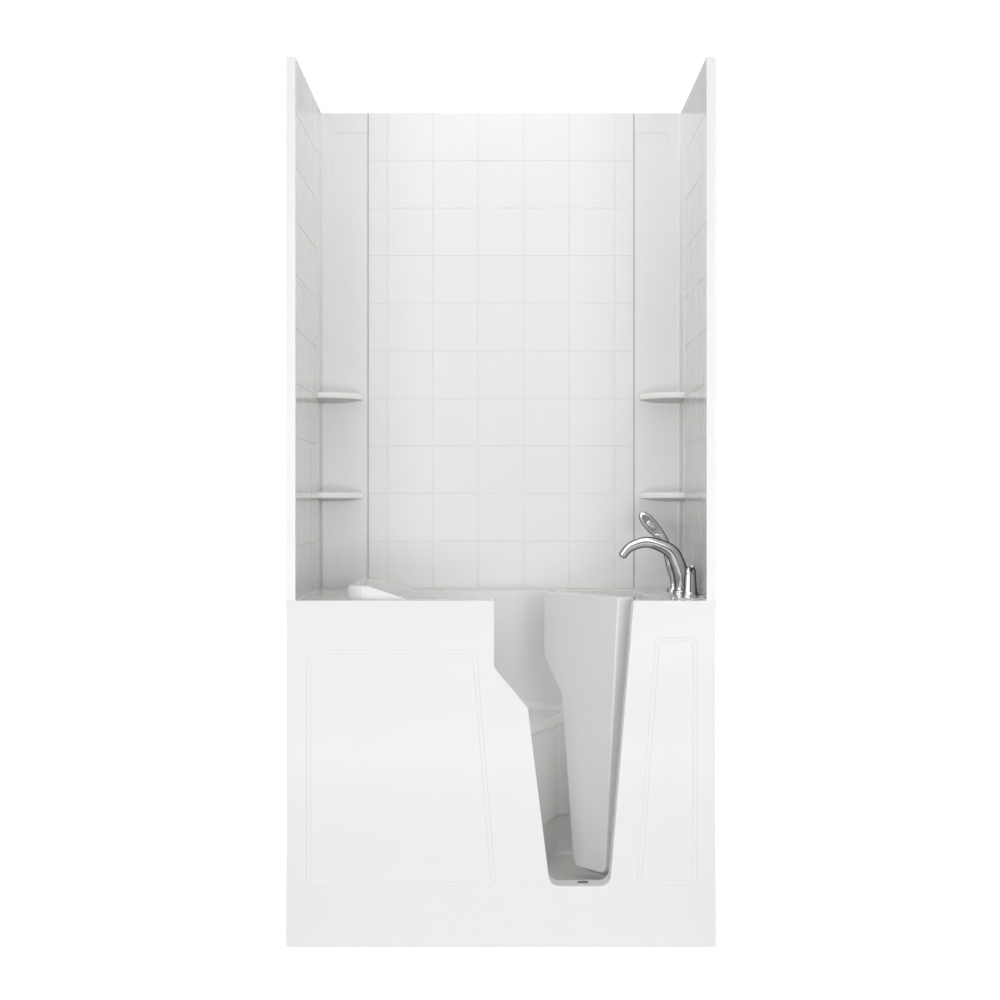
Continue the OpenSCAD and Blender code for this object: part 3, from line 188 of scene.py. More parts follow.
wire(tree,
     (spot, "Position", away, 0), (away, "Value", spread, "Value"),
     (spread, "Result", lift_level, 0), (rays, "Is Camera Ray", lift_level, 1),
     (lift_level, 0, lift, "Strength"), (matte, 0, both, 0), (lift, 0, both, 1),
     (both, 0, floor_out, "Surface"))
floor_mesh.materials.append(floor_paint)

# Steel frame under the shell: square tube of 30 mm, cut, welded and powder-coated grey. The powder
# leaves a fine orange peel, and the corners of the tube are drawn to a small radius.


def fine_mottle_group():
    """Slow drifts in shade and gloss, and a fine relief, as coated and moulded surfaces have."""
    group = bpy.data.node_groups.new("fine_mottle", "ShaderNodeTree")
    face = group.interface
    face.new_socket("Color", in_out="INPUT", socket_type="NodeSocketColor")
    for label, value in (("Shade", 0.03), ("Gloss change", 0.05), ("Roughness", 0.3),
                         ("Scale", 60.0)):
        entry = face.new_socket(label, in_out="INPUT", socket_type="NodeSocketFloat")
        entry.default_value = value
    face.new_socket("Color", in_out="OUTPUT", socket_type="NodeSocketColor")
    face.new_socket("Roughness", in_out="OUTPUT", socket_type="NodeSocketFloat")
    face.new_socket("Height", in_out="OUTPUT", socket_type="NodeSocketFloat")
    given = new_node(group, "NodeGroupInput")
    out = new_node(group, "NodeGroupOutput")
    spot = new_node(group, "ShaderNodeTexCoord")
    slow = new_node(group, "ShaderNodeTexNoise", {"Scale": 3.0, "Detail": 4.0})
    fine = new_node(group, "ShaderNodeTexNoise", {"Detail": 3.0})
    centred = new_node(group, "ShaderNodeMath", {1: 0.5}, operation="SUBTRACT")
    shade = new_node(group, "ShaderNodeMath", {2: 1.0}, operation="MULTIPLY_ADD")
    tint = new_node(group, "ShaderNodeVectorMath", operation="SCALE")
    gloss = new_node(group, "ShaderNodeMath", operation="MULTIPLY_ADD")
    wire(group,
         (spot, "Object", slow, "Vector"), (spot, "Object", fine, "Vector"),
         (given, "Scale", fine, "Scale"), (slow, "Fac", centred, 0),
         (centred, 0, shade, 0), (given, "Shade", shade, 1),
         (given, "Color", tint, 0), (shade, 0, tint, "Scale"),
         (centred, 0, gloss, 0), (given, "Gloss change", gloss, 1),
         (given, "Roughness", gloss, 2), (tint, 0, out, "Color"),
         (gloss, 0, out, "Roughness"), (fine, "Fac", out, "Height"))
    return group


fine_mottle = fine_mottle_group()
peel_depth = 0.001


def finish(name, color, roughness, metallic=0.0, shade=0.03, gloss_change=0.05, scale=60.0,
           relief=0.02, level=0.5, soften=0.0, rim=None):
    """A material with the mottling in its colour, gloss and relief. Edges look rounded to the
    radius soften, and rim is the level of a painted dark reflection that a metal's colour darkens to
    where it turns away."""
    material = bpy.data.materials.new(name)
    material.use_nodes = True
    tree = material.node_tree
    surface = tree.nodes["Principled BSDF"]
    surface.inputs["Metallic"].default_value = metallic
    surface.inputs["Specular IOR Level"].default_value = level
    mottle = new_node(tree, "ShaderNodeGroup",
                      {"Color": (*color, 1), "Shade": shade, "Gloss change": gloss_change,
                       "Roughness": roughness, "Scale": scale}, node_tree=fine_mottle, name="mottle")
    peel = new_node(tree, "ShaderNodeBump", {"Strength": relief, "Distance": peel_depth},
                    name="peel")
    wire(tree, (mottle, "Color", surface, "Base Color"), (mottle, "Roughness", surface, "Roughness"),
         (mottle, "Height", peel, "Height"), (peel, "Normal", surface, "Normal"))
    if soften:
        rounded = new_node(tree, "ShaderNodeBevel", {"Radius": soften}, samples=6, name="rounded")
        wire(tree, (rounded, "Normal", peel, "Normal"))
    # Painted reflection: the metal's colour and tint darken where it turns away, as if it mirrored a
    # dark room.
    if rim is not None:
        facing = new_node(tree, "ShaderNodeLayerWeight")
        shade_by = new_node(tree, "ShaderNodeMapRange",
                            {"From Min": 0.2, "From Max": 0.66, "To Min": 1.0, "To Max": rim},
                            interpolation_type="SMOOTHSTEP")
        shaded = new_node(tree, "ShaderNodeVectorMath", operation="SCALE")
        wire(tree, (facing, "Facing", shade_by, "Value"), (mottle, "Color", shaded, 0),
             (shade_by, "Result", shaded, "Scale"), (shaded, "Vector", surface, "Base Color"))
        surface.inputs["Specular Tint"].default_value = (rim, rim, rim, 1)
    return material


def dress(names, material, edge=0.0, rings=2):
    """Gives CAD nodes a material, and rounds their edges to the radius edge where it is given."""
    for name in names:
        node = nodes[name]
        node.data.materials.clear()
        node.data.materials.append(material)
        if edge:
            node.data.shade_smooth()
            weld = node.modifiers.new("weld", "WELD")
            weld.merge_threshold = 0.00002
            flat = node.modifiers.new("flat", "DECIMATE")
            flat.decimate_type = "DISSOLVE"
            flat.angle_limit = math.radians(0.5)
            flat.delimit = {"MATERIAL"}
            soft = node.modifiers.new("soft", "BEVEL")
            soft.width = edge
            soft.segments = rings
            soft.limit_method = "ANGLE"
            soft.angle_limit = math.radians(30)
            normals = node.modifiers.new("normals", "WEIGHTED_NORMAL")
            normals.keep_sharp = True
            normals.weight = 80


frame_paint = finish("frame_paint", (0.3, 0.32, 0.34), 0.42, shade=0.12, scale=900, relief=0.12)
dress(["base_frame", "upright_posts", "top_rails", "seat_support"], frame_paint, edge=0.002)

# Levelling feet: zinc-plated steel studs on round pads. They screw into the base frame, and
# lock nuts hold them at their height.
zinc = finish("zinc_steel", (0.55, 0.55, 0.54), 0.34, metallic=1.0, shade=0.1, scale=300,
              relief=0.05, soften=0.0008)
dress(["foot_1", "foot_2", "foot_3", "foot_4", "foot_5", "foot_6", "foot_nuts"], zinc)

# Shell, apron and doorway liner: white acrylic sheet, drawn over a mould and trimmed. The gloss
# side has a faint orange peel, and the hidden side is backed with sprayed glass fibre and resin.
tub_color = (0.925, 0.925, 0.915)
tub_acrylic = finish("tub_acrylic", tub_color, 0.1, shade=0.012, gloss_change=0.06, scale=40,
                     relief=0.015)
shell_acrylic = finish("shell_acrylic", tub_color, 0.07, shade=0.012, gloss_change=0.06, scale=40,
                       relief=0.015, soften=0.006)
# The doorway liner is a lighter white than the shell: painted light on its sill.
liner_lit_acrylic = finish("liner_lit_acrylic", (0.97, 0.97, 0.96), 0.35, shade=0.012, scale=40,
                       relief=0.01, level=0.2, soften=0.003)
fibre_backing = finish("fibre_backing", (0.6, 0.6, 0.53), 0.6, shade=0.25, gloss_change=0.3,
                       scale=220, relief=0.9)
dress(["tub_shell"], shell_acrylic)
dress(["front_apron"], tub_acrylic, edge=0.0022, rings=3)
dress(["door_frame"], liner_lit_acrylic)


def back_with_fibre(name, hidden):
    """Gives the fibre backing to the faces of a CAD node where hidden(middle, normal) is true."""
    mesh = nodes[name].data
    mesh.materials.append(fibre_backing)
    for face in mesh.polygons:
        face.material_index = 1 if hidden(face.center, face.normal) else 0


up = Vector((0, 0, 1))
beside_reach, below_reach = 0.055, 0.003
shell_mesh = nodes["tub_shell"].data
shell_tree = BVHTree.FromPolygons([v.co for v in shell_mesh.vertices],
                                  [f.vertices for f in shell_mesh.polygons])


def under_shell(middle, normal):
    """True where the shell itself is overhead, a little way out from the face."""
    if normal.z > 0.5:
        return False
    beside = Vector((normal.x, normal.y, 0)) * beside_reach
    below = Vector((0, 0, min(normal.z, 0) * below_reach))
    return shell_tree.ray_cast(middle + (beside + below), up)[0] is not None


back_with_fibre("tub_shell", under_shell)

# Sill strainer, drain and overflow: brass, turned or pressed, polished and chrome-plated. The
# drain's flange clamps the shell and holds the stopper, which the overflow's knob lifts.
# Its colour darkens towards its edges as a painted reflection (rim).
bright_chrome = finish("bright_chrome", (0.74, 0.74, 0.75), 0.08, metallic=1.0, shade=0.03,
                       gloss_change=0.04, scale=90, relief=0.004, soften=0.0005, rim=0.45)
dress(["sill_strainer", "drain_flange", "drain_stopper", "overflow_plate", "overflow_knob"],
      bright_chrome)

# Waste fittings: white plastic mouldings, pushed together and cemented. The shoe and the overflow
# elbow sit outside the shell, and the tee brings their pipes together over the tailpiece.
waste_plastic = finish("waste_plastic", (0.74, 0.74, 0.71), 0.45, shade=0.05, scale=400,
                       relief=0.05, soften=0.001)
dress(["drain_shoe", "waste_pipe", "waste_tee", "tailpiece", "overflow_pipe", "overflow_elbow"],
      waste_plastic)

# Door: a moulded acrylic plug that fills the doorway, bonded to a wider inner panel that laps it
# from inside. A grey silicone seal runs round the inner panel.
# The plug's acrylic is greyer than the shell's: painted shade, as it stands back in the doorway.
door_shaded_acrylic = finish("door_shaded_acrylic", (0.88, 0.88, 0.87), 0.12, shade=0.012, gloss_change=0.06,
                      scale=40, relief=0.015)
seal_silicone = finish("grey_silicone", (0.5, 0.5, 0.49), 0.55, shade=0.05, scale=500, relief=0.05)
dress(["door_panel"], door_shaded_acrylic, edge=0.006, rings=3)
dress(["door_inner_panel"], shell_acrylic)
dress(["door_seal"], seal_silicone)

# Hinges, latch and keeper: stainless steel, cut, turned and brushed. Socket screws hold them to
# the doorway liner and the door, with their heads on the tub's inner side.
stainless = finish("brushed_stainless", (0.72, 0.72, 0.71), 0.22, metallic=1.0, shade=0.06,
                   scale=500, relief=0.05, soften=0.0008)
dress(["upper_jamb_hinge", "lower_jamb_hinge", "upper_door_hinge", "lower_door_hinge",
       "upper_hinge_pin", "lower_hinge_pin", "latch_plate", "latch_tongue", "latch_lever",
       "latch_keeper"], stainless)


def lathe(profile, sides, hexagon_below=None):
    """Rings of points for a profile of (radius, height) pairs about Z. Rings of the radius
    hexagon_below or less are hexagons."""
    rings = []
    for radius, height in profile:
        ring = []
        for k in range(sides):
            a = 2 * math.pi * k / sides
            reach = radius
            if hexagon_below and radius <= hexagon_below:
                reach = radius * math.cos(math.pi / 6) / math.cos(a % (math.pi / 3) - math.pi / 6)
            ring.append(Vector((reach * math.cos(a), reach * math.sin(a), height)))
        rings.append(ring)
    return rings


def moved(rings, placing):
    """Rings of points, moved by the matrix placing."""
    return [[placing @ point for point in ring] for ring in rings]


def skin(name, rings, material, body, sharp=40):
    """A closed mesh over rings of points, smooth but for edges sharper than sharp degrees."""
    sides = len(rings[0])
    points = [point for ring in rings for point in ring]
    faces = []
    for i in range(len(rings) - 1):
        for k in range(sides):
            a, b = i * sides + k, i * sides + (k + 1) % sides
            faces.append((a, b, b + sides, a + sides))
    faces.append(tuple(range(sides - 1, -1, -1)))
    faces.append(tuple(range((len(rings) - 1) * sides, len(rings) * sides)))
    mesh = bpy.data.meshes.new(name)
    mesh.from_pydata(points, [], faces)
    outward = bmesh.new()
    outward.from_mesh(mesh)
    bmesh.ops.recalc_face_normals(outward, faces=outward.faces)
    outward.to_mesh(mesh)
    outward.free()
    mesh.shade_smooth()
    mesh.set_sharp_from_angle(angle=math.radians(sharp))
    mesh.materials.append(material)
    piece = bpy.data.objects.new(name, mesh)
    scene.collection.objects.link(piece)
    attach(piece, body)
    return piece


def joined(name, parts):
    """One piece made of several, which keeps the first one's body and slot."""
    with bpy.context.temp_override(active_object=parts[0], selected_editable_objects=parts):
        bpy.ops.object.join()
    parts[0].name = name
    return parts[0]


hinge_x, hinge_y = 0.39, front_y + 0.0985
open_angle = math.radians(-57)
door_turn = (Matrix.Translation((hinge_x, hinge_y, 0)) @ Matrix.Rotation(open_angle, 4, "Z")
             @ Matrix.Translation((-hinge_x, -hinge_y, 0)))
facing_back = Matrix.Rotation(math.radians(-90), 4, "X")
socket_r = 0.0018
screw_profile = [(0.0012, 0.0009), (socket_r, 0.0009), (socket_r, 0.0021), (0.0028, 0.0021),
                 (0.0038, 0.0015), (0.0042, 0.0)]


def screws(name, places, body, turn=Matrix.Identity(4)):
    """Socket screw heads at places, facing the back before turn."""
    heads = []
    for place in places:
        head = lathe(screw_profile, sides=24, hexagon_below=socket_r)
        seat = turn @ Matrix.Translation(place) @ facing_back
        heads.append(skin(name, moved(head, seat), stainless, body))
    return joined(name, heads)


hinge_screw_z = [middle + rise for middle in (0.33, 0.86) for rise in (-0.03, 0, 0.03)]
jamb_leaf_x, jamb_leaf_y = 0.4075, front_y + 0.0925
door_leaf_x, door_leaf_y = 0.3665, front_y + 0.107
screws("jamb_hinge_screws", [Vector((jamb_leaf_x, jamb_leaf_y, z)) for z in hinge_screw_z], "root")
screws("door_hinge_screws", [Vector((door_leaf_x, door_leaf_y, z)) for z in hinge_screw_z], "door",
       door_turn)
latch_x, latch_y, latch_z = 0.015, front_y + 0.1075, 0.872
keeper_x, keeper_y = -0.082, front_y + 0.093
screws("keeper_screws", [Vector((keeper_x, keeper_y, latch_z + rise)) for rise in (-0.014, 0.014)],
       "root")
plate_screw_r = 0.0145
screws("latch_plate_screws",
       [Vector((latch_x + plate_screw_r * math.cos(a), latch_y, latch_z + plate_screw_r * math.sin(a)))
        for a in (math.radians(30), math.radians(150))], "door", door_turn)

# Wall surround: a back, two corner and two side panels of glossy acrylic, drawn over moulds with
# the tile pattern in them. They stand on the deck, and their hidden sides have the same fibre
# backing as the tub. The side panels wave a little. Their colour is painted darker towards the
# deck as painted shade, where the light falls off down them.
wall_low_z, wall_high_z = 0.97, 2.47
wave_stretch = (0, 16, 0.3)


def sheet_waves_group():
    """The height of the upright waves that a large moulded sheet has."""
    group = bpy.data.node_groups.new("sheet_waves", "ShaderNodeTree")
    face = group.interface
    fineness = face.new_socket("Scale", in_out="INPUT", socket_type="NodeSocketFloat")
    fineness.default_value = 5.0
    face.new_socket("Height", in_out="OUTPUT", socket_type="NodeSocketFloat")
    given = new_node(group, "NodeGroupInput")
    out = new_node(group, "NodeGroupOutput")
    spot = new_node(group, "ShaderNodeTexCoord")
    upright = new_node(group, "ShaderNodeMapping", {"Scale": wave_stretch})
    wave = new_node(group, "ShaderNodeTexNoise", {"Detail": 1.0})
    wire(group, (spot, "Object", upright, "Vector"), (upright, "Vector", wave, "Vector"),
         (given, "Scale", wave, "Scale"), (wave, "Fac", out, "Height"))
    return group


def painted_falloff_group():
    """A colour darkened by painted shade, from Bottom at the surround's foot to Top at its rim, with
    the power Bend.
    """
    group = bpy.data.node_groups.new("painted_falloff", "ShaderNodeTree")
    face = group.interface
    face.new_socket("Color", in_out="INPUT", socket_type="NodeSocketColor")
    for label in ("Bottom", "Top", "Bend"):
        entry = face.new_socket(label, in_out="INPUT", socket_type="NodeSocketFloat")
        entry.default_value = 1.0
    face.new_socket("Color", in_out="OUTPUT", socket_type="NodeSocketColor")
    given = new_node(group, "NodeGroupInput")
    out = new_node(group, "NodeGroupOutput")
    spot = new_node(group, "ShaderNodeTexCoord")
    part = new_node(group, "ShaderNodeSeparateXYZ")
    share = new_node(group, "ShaderNodeMapRange", {"From Min": wall_low_z, "From Max": wall_high_z})
    bend = new_node(group, "ShaderNodeMath", operation="POWER")
    shade_by = new_node(group, "ShaderNodeMapRange")
    shaded = new_node(group, "ShaderNodeVectorMath", operation="SCALE")
    wire(group, (spot, "Object", part, 0), (part, "Z", share, "Value"),
         (share, "Result", bend, 0), (given, "Bend", bend, 1), (bend, "Value", shade_by, "Value"),
         (given, "Bottom", shade_by, "To Min"), (given, "Top", shade_by, "To Max"),
         (given, "Color", shaded, 0), (shade_by, "Result", shaded, "Scale"),
         (shaded, "Vector", out, "Color"))
    return group


sheet_waves = sheet_waves_group()
painted_falloff = painted_falloff_group()


def wall_sheet(name, color, roughness, waves=0.0, painted_fade=None):
    """Glossy surround acrylic. Waves is their depth, and fade gives the values of the painted shade
    that darkens it towards the deck.
    """
    material = finish(name, color, roughness, shade=0.012, gloss_change=0.03, scale=30,
                      relief=0.008, soften=0.002)
    tree = material.node_tree
    if waves:
        rounded, peel = tree.nodes["rounded"], tree.nodes["peel"]
        wave = new_node(tree, "ShaderNodeGroup", node_tree=sheet_waves)
        wavy = new_node(tree, "ShaderNodeBump", {"Strength": 1.0, "Distance": waves})
        wire(tree, (wave, "Height", wavy, "Height"), (rounded, "Normal", wavy, "Normal"),
             (wavy, "Normal", peel, "Normal"))
    if painted_fade:
        mottle, surface = tree.nodes["mottle"], tree.nodes["Principled BSDF"]
        shaded = new_node(tree, "ShaderNodeGroup", painted_fade, node_tree=painted_falloff)
        wire(tree, (mottle, "Color", shaded, "Color"), (shaded, "Color", surface, "Base Color"))
    return material


# The side panels' colour is set greyer than the back wall's as painted shade, and their fall-off
# shades it from darker at the deck to about the back wall's at the top.
wall_color, shaded_side_color = (0.945, 0.947, 0.935), (0.87, 0.872, 0.86)
wall_acrylic = wall_sheet("wall_acrylic", wall_color, 0.05)
# Painted shade: the corner panels' short legs darken towards the deck.
leg_shaded_acrylic = wall_sheet("leg_shaded_acrylic", wall_color, 0.05, painted_fade={"Bottom": 0.74, "Top": 1.0})
left_acrylic = wall_sheet("left_acrylic", shaded_side_color, 0.04, waves=0.0016,
                          painted_fade={"Bottom": 0.8, "Top": 1.09})
right_acrylic = wall_sheet("right_acrylic", shaded_side_color, 0.04, waves=0.0016,
                           painted_fade={"Bottom": 0.52, "Top": 1.07, "Bend": 0.5})
# A lighter white than the walls for edges and shelves that catch the light: painted light.
lit_white_paint = finish("lit_white_paint", (0.99, 0.99, 0.98), 0.3, shade=0.012, scale=30, relief=0.008)
dress(["back_panel", "left_corner_panel", "right_corner_panel"], wall_acrylic)
dress(["left_side_panel"], left_acrylic)
dress(["right_side_panel"], right_acrylic)
behind_x, behind_y = 0.5765, 0.3605
panel_edge, front_edge = 0.0015, 0.002
leg_near_x, leg_far_x = 0.565, 0.574


def hollow_back(name):
    """The test for the faces on the hollow back of a panel, inside its rim."""
    low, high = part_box(name)
    near_x = min(abs(low.x), abs(high.x))

    def in_hollow(middle, normal):
        if middle.y <= behind_y and abs(middle.x) <= behind_x:
            return False
        if not low.z + panel_edge < middle.z < high.z - panel_edge:
            return False
        if name == "back_panel":
            return low.x + panel_edge < middle.x < high.x - panel_edge
        if "side" in name:
            return low.y + panel_edge < middle.y < high.y - panel_edge
        return min(abs(middle.y - low.y), abs(abs(middle.x) - near_x)) > panel_edge

    return in_hollow


def recoat(name, material, chosen):
    """Gives another material to the faces of a backed panel for which chosen(face) is true."""
    mesh = nodes[name].data
    mesh.materials.append(material)
    for face in mesh.polygons:
        if chosen(face):
            face.material_index = len(mesh.materials) - 1


for name in ("back_panel", "left_corner_panel", "right_corner_panel", "left_side_panel",
             "right_side_panel"):
    back_with_fibre(name, hollow_back(name))
side_front_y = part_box("left_side_panel")[0].y + front_edge
# The side panels' front edges get the lighter white: a painted highlight.
for name in ("left_side_panel", "right_side_panel"):
    recoat(name, lit_white_paint,
           lambda face: face.normal.y < -0.9 and face.center.y < side_front_y)
# The corner panels' short legs that face sideways get the colour with painted shade, darker towards
# the deck.
for name in ("left_corner_panel", "right_corner_panel"):
    recoat(name, leg_shaded_acrylic,
           lambda face: abs(face.normal.x) > 0.5 and leg_near_x < abs(face.center.x) < leg_far_x)

# Corner shelves: four solid acrylic castings, bonded into the corners of the surround. Each has
# a rolled front, a dished top and a rougher underside that tapers. The top and front are painted a
# lighter white as painted light, and the underside a dark grey as painted shade.
shelf_underside_shade = finish("shelf_underside_shade", (0.55, 0.55, 0.54), 0.5, shade=0.05, scale=200,
                         relief=0.1)
wall_x, wall_y = 0.572, 0.356
panel_corner_r = 0.012
shelf_t, dish_depth = 0.028, 0.003
shelf_steps = 40
taper = [(0.07, shelf_t), (0.045, 0.0262), (0.02, 0.0222), (0.006, 0.0195)]
rolled_front = [(0.0025, 0.0182), (0.0004, 0.0155), (0, 0.012), (0, 0.006), (0.0014, 0.0022),
                (0.0045, 0.0002), (0.008, 0)]
dish_edge = [(0.0105, 0.001), (0.013, dish_depth)]


def corner_shelf(name, side):
    """A quarter-round shelf in the corner at that side. The parts of its profile are given as
    (back from the front, down from the top)."""
    low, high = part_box(name)
    top, reach = high.z, high.x - low.x
    profile = [(reach - back, -down) for back, down in taper + rolled_front + dish_edge]
    profile = [(0, -shelf_t)] + profile + [(0, -dish_depth)]
    rings = []
    for k in range(shelf_steps + 1):
        a = math.pi / 2 * k / shelf_steps
        c, lean = panel_corner_r, math.cos(a) + math.sin(a)
        inner = c * lean - math.sqrt(max(c * c * lean * lean - c * c, 0))
        rings.append([Vector((side * (wall_x - (r or inner) * math.cos(a)),
                              wall_y - (r or inner) * math.sin(a), top + z)) for r, z in profile])
    moulding = skin(name + "_moulding", rings, lit_white_paint, "root")
    # Down-facing faces get a dark grey: painted shade under the shelf.
    moulding.data.materials.append(shelf_underside_shade)
    for face in moulding.data.polygons:
        if face.normal.z < -0.9:
            face.material_index = 1
    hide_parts(name)


corner_shelf("left_lower_shelf", -1)
corner_shelf("right_lower_shelf", 1)
corner_shelf("left_upper_shelf", -1)
corner_shelf("right_upper_shelf", 1)

# Joint strips: dark plastic strips that fill the four joints between the surround's panels. They
# are pressed in after the panels stand.
joint_strip = finish("joint_strip", (0.3, 0.3, 0.3), 0.5, shade=0.05, scale=300, relief=0.03)
dress(["seam_strips"], joint_strip)

# Sealant: a white silicone bead where the panels stand on the deck, run along the joint and
# smoothed with a finger. At the right it steps up onto the ledge that carries the tub filler.
sealant = finish("white_sealant", (0.8, 0.8, 0.79), 0.35, shade=0.03, scale=200, relief=0.06)
bead_r, bead_sides = 0.0024, 10
deck_z, ledge_z = 0.965, 0.968
wall_front_y = -0.376
ledge_front_y, ledge_back_y, half_step = -0.291, 0.342, 0.0015


def bead(name, path):
    """A round bead along a path of points."""
    rings = []
    for i, point in enumerate(path):
        ahead = (path[min(i + 1, len(path) - 1)] - path[max(i - 1, 0)]).normalized()
        across = ahead.cross(up).normalized()
        above = across.cross(ahead)
        rings.append([point + bead_r * (math.cos(a) * across + math.sin(a) * above)
                      for a in (2 * math.pi * k / bead_sides for k in range(bead_sides))])
    return skin(name, rings, sealant, "root")


bead("left_sealant", [Vector((-wall_x, y, deck_z)) for y in (wall_front_y, -0.1, 0.15, wall_y)])
bead("back_sealant", [Vector((x, wall_y, deck_z)) for x in (-wall_x, -0.2, 0.2, wall_x)])
bead("right_sealant", [Vector((wall_x, y, z)) for y, z in (
    (wall_front_y, deck_z), (ledge_front_y - half_step, deck_z), (ledge_front_y + half_step, ledge_z),
    (0.1, ledge_z), (ledge_back_y - half_step, ledge_z), (ledge_back_y + half_step, deck_z),
    (wall_y, deck_z))])

# Spout: a swept brass tube, polished and chrome-plated, that narrows to its tip. It stands on a
# turned ring on the ledge, and a grey plastic aerator screws into the tip.
# Its colour darkens towards its edges as a painted reflection (rim).
chrome = finish("chrome_plate", (0.7, 0.7, 0.71), 0.05, metallic=1.0, shade=0.03, gloss_change=0.04,
                scale=90, relief=0.004, soften=0.0008, rim=0.09)
dress(["spout_ring"], chrome)
ring_low, ring_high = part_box("spout_ring")
ring_top = ring_high.z
spout_x, spout_y = (ring_low.x + ring_high.x) / 2, (ring_low.y + ring_high.y) / 2
spout_top = ledge_z + 0.152
spout_knots = [
    (0.0, ring_top + 0.002, 0.0176, 0.0176), (0.001, ring_top + 0.036, 0.021, 0.021),
    (-0.008, ring_top + 0.074, 0.022, 0.021), (-0.027, ring_top + 0.113, 0.021, 0.02),
    (-0.062, spout_top - 0.01, 0.018, 0.018), (-0.106, spout_top, 0.016, 0.017),
    (-0.152, spout_top - 0.015, 0.014, 0.015), (-0.176, spout_top - 0.041, 0.0125, 0.0135)]
spout_foot = [(ring_top, 0.0182), (ring_top + 0.0045, 0.0184), (ring_top + 0.006, 0.0179)]
foot_end_z = ring_top + 0.007
tip_lip = [(0.97, 0.0004), (0.9, 0.0006), (0.84, 0.0), (0.83, -0.008)]
spout_sides = 48


def smooth_path(knots, steps):
    """A smooth curve through knots (x, z, half height, half width), with steps parts each."""
    path = []
    for i in range(len(knots) - 1):
        a, b = knots[max(i - 1, 0)], knots[i]
        c, d = knots[i + 1], knots[min(i + 2, len(knots) - 1)]
        for k in range(steps + (i == len(knots) - 2)):
            t = k / steps
            path.append([0.5 * (2 * q + (r - p) * t + (2 * p - 5 * q + 4 * r - w) * t * t
                                + (3 * q - p - 3 * r + w) * t ** 3)
                         for p, q, r, w in zip(a, b, c, d)])
    return path


def oval(x, z, high, wide, along, sides):
    """A ring round (x, z) in the X-Z plane, square to the unit direction along."""
    return [Vector((x - along[1] * high * math.cos(a), wide * math.sin(a),
                    z + along[0] * high * math.cos(a)))
            for a in (2 * math.pi * k / sides for k in range(sides))]


def direction(path, i):
    """The unit direction of the path at its point i."""
    before, after = path[max(i - 1, 0)], path[min(i + 1, len(path) - 1)]
    along = Vector((after[0] - before[0], after[1] - before[1]))
    return along.normalized()


def swept(path, sides):
    """Rings along a path of (x, z, half height, half width)."""
    return [oval(*station, direction(path, i), sides) for i, station in enumerate(path)]


def turned(stations, sides):
    """Round rings at stations (height, radius)."""
    return [oval(0, z, r, r, (0, 1), sides) for z, r in stations]


spout_path = smooth_path(spout_knots, steps=14)
rings = turned(spout_foot, spout_sides)
rings += [ring for ring in swept(spout_path, spout_sides) if min(p.z for p in ring) > foot_end_z]
tip_x, tip_z, tip_high, tip_wide = spout_path[-1]
outwards = direction(spout_path, len(spout_path) - 1)
for size, reach in tip_lip:
    rings.append(oval(tip_x + outwards[0] * reach, tip_z + outwards[1] * reach, tip_high * size,
                      tip_wide * size, outwards, spout_sides))
spout = skin("spout_tube", moved(rings, Matrix.Translation((spout_x, spout_y, 0))), chrome,
             "root", sharp=50)
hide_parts("spout")
grey_plastic = finish("grey_plastic", (0.2, 0.2, 0.21), 0.4, shade=0.05, scale=300, relief=0.03)
dress(["spout_aerator"], grey_plastic)

# Mixer: a turned brass body on the ledge, with a cap that turns for warmth, both chrome-plated.
# A forged lever is pinned in the cap and lifts for flow.
dress(["mixer_body", "mixer_hub"], chrome)
hub_low, hub_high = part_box("mixer_hub")
mixer_x, mixer_y = (hub_low.x + hub_high.x) / 2, (hub_low.y + hub_high.y) / 2
pivot_z = 1.042
lever_knots = [
    (0.0028, -0.0004, 0.0034, 0.0036), (0.0, 0.0, 0.0044, 0.004), (-0.0165, 0.0016, 0.0053, 0.0041),
    (-0.027, 0.0052, 0.0057, 0.0062), (-0.044, 0.0098, 0.0052, 0.0078),
    (-0.058, 0.0125, 0.005, 0.0078), (-0.0635, 0.0133, 0.0042, 0.0066),
    (-0.0662, 0.0137, 0.0026, 0.0042), (-0.0672, 0.0139, 0.0008, 0.0014)]
lever_path = smooth_path(lever_knots, steps=8)
to_front = (Matrix.Translation((mixer_x, mixer_y, pivot_z))
            @ Matrix.Rotation(math.radians(90), 4, "Z"))
lever = skin("mixer_handle_lever", moved(swept(lever_path, sides=32), to_front), bright_chrome,
             "mixer_handle", sharp=60)
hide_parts("mixer_lever")

# Hand shower: a hollow brass wand, chrome-plated, with a flat front on its head. The spray plate
# with its trim ring and soft grey nozzles is pressed in there, and the wand stands in a guide.
dress(["hand_shower_guide"], chrome)
wand_x, wand_y = 0.532, front_y + 0.543
wand_low, wand_top = 0.982, 1.21
face_y = -0.009
flat_from_z = wand_top - 0.07
wand_knots = [
    (0.0, wand_low + 0.002, 0.0095, 0.0095), (-0.003, wand_low + 0.03, 0.011, 0.011),
    (-0.012, wand_low + 0.062, 0.0125, 0.012), (-0.026, wand_top - 0.1, 0.013, 0.012),
    (-0.045, wand_top - 0.07, 0.017, 0.013), (-0.068, wand_top - 0.044, 0.02, 0.014),
    (-0.088, wand_top - 0.021, 0.0185, 0.012), (-0.0985, wand_top - 0.009, 0.0125, 0.0085),
    (-0.103, wand_top - 0.0038, 0.0055, 0.0045), (-0.1042, wand_top - 0.0024, 0.0012, 0.0012)]
wand_stem = [(0.944, 0.0062), (0.945, 0.007), (wand_low, 0.007), (wand_low, 0.01),
             (0.9865, 0.01), (0.988, 0.0097)]
stem_end_z = 0.9885
wand_sides = 40
wand_path = smooth_path(wand_knots, steps=12)
rings = turned(wand_stem, wand_sides)
rings += [ring for ring in swept(wand_path, wand_sides) if min(p.z for p in ring) > stem_end_z]
for ring in rings:
    for point in ring:
        if point.z > flat_from_z:
            point.y = max(point.y, face_y)
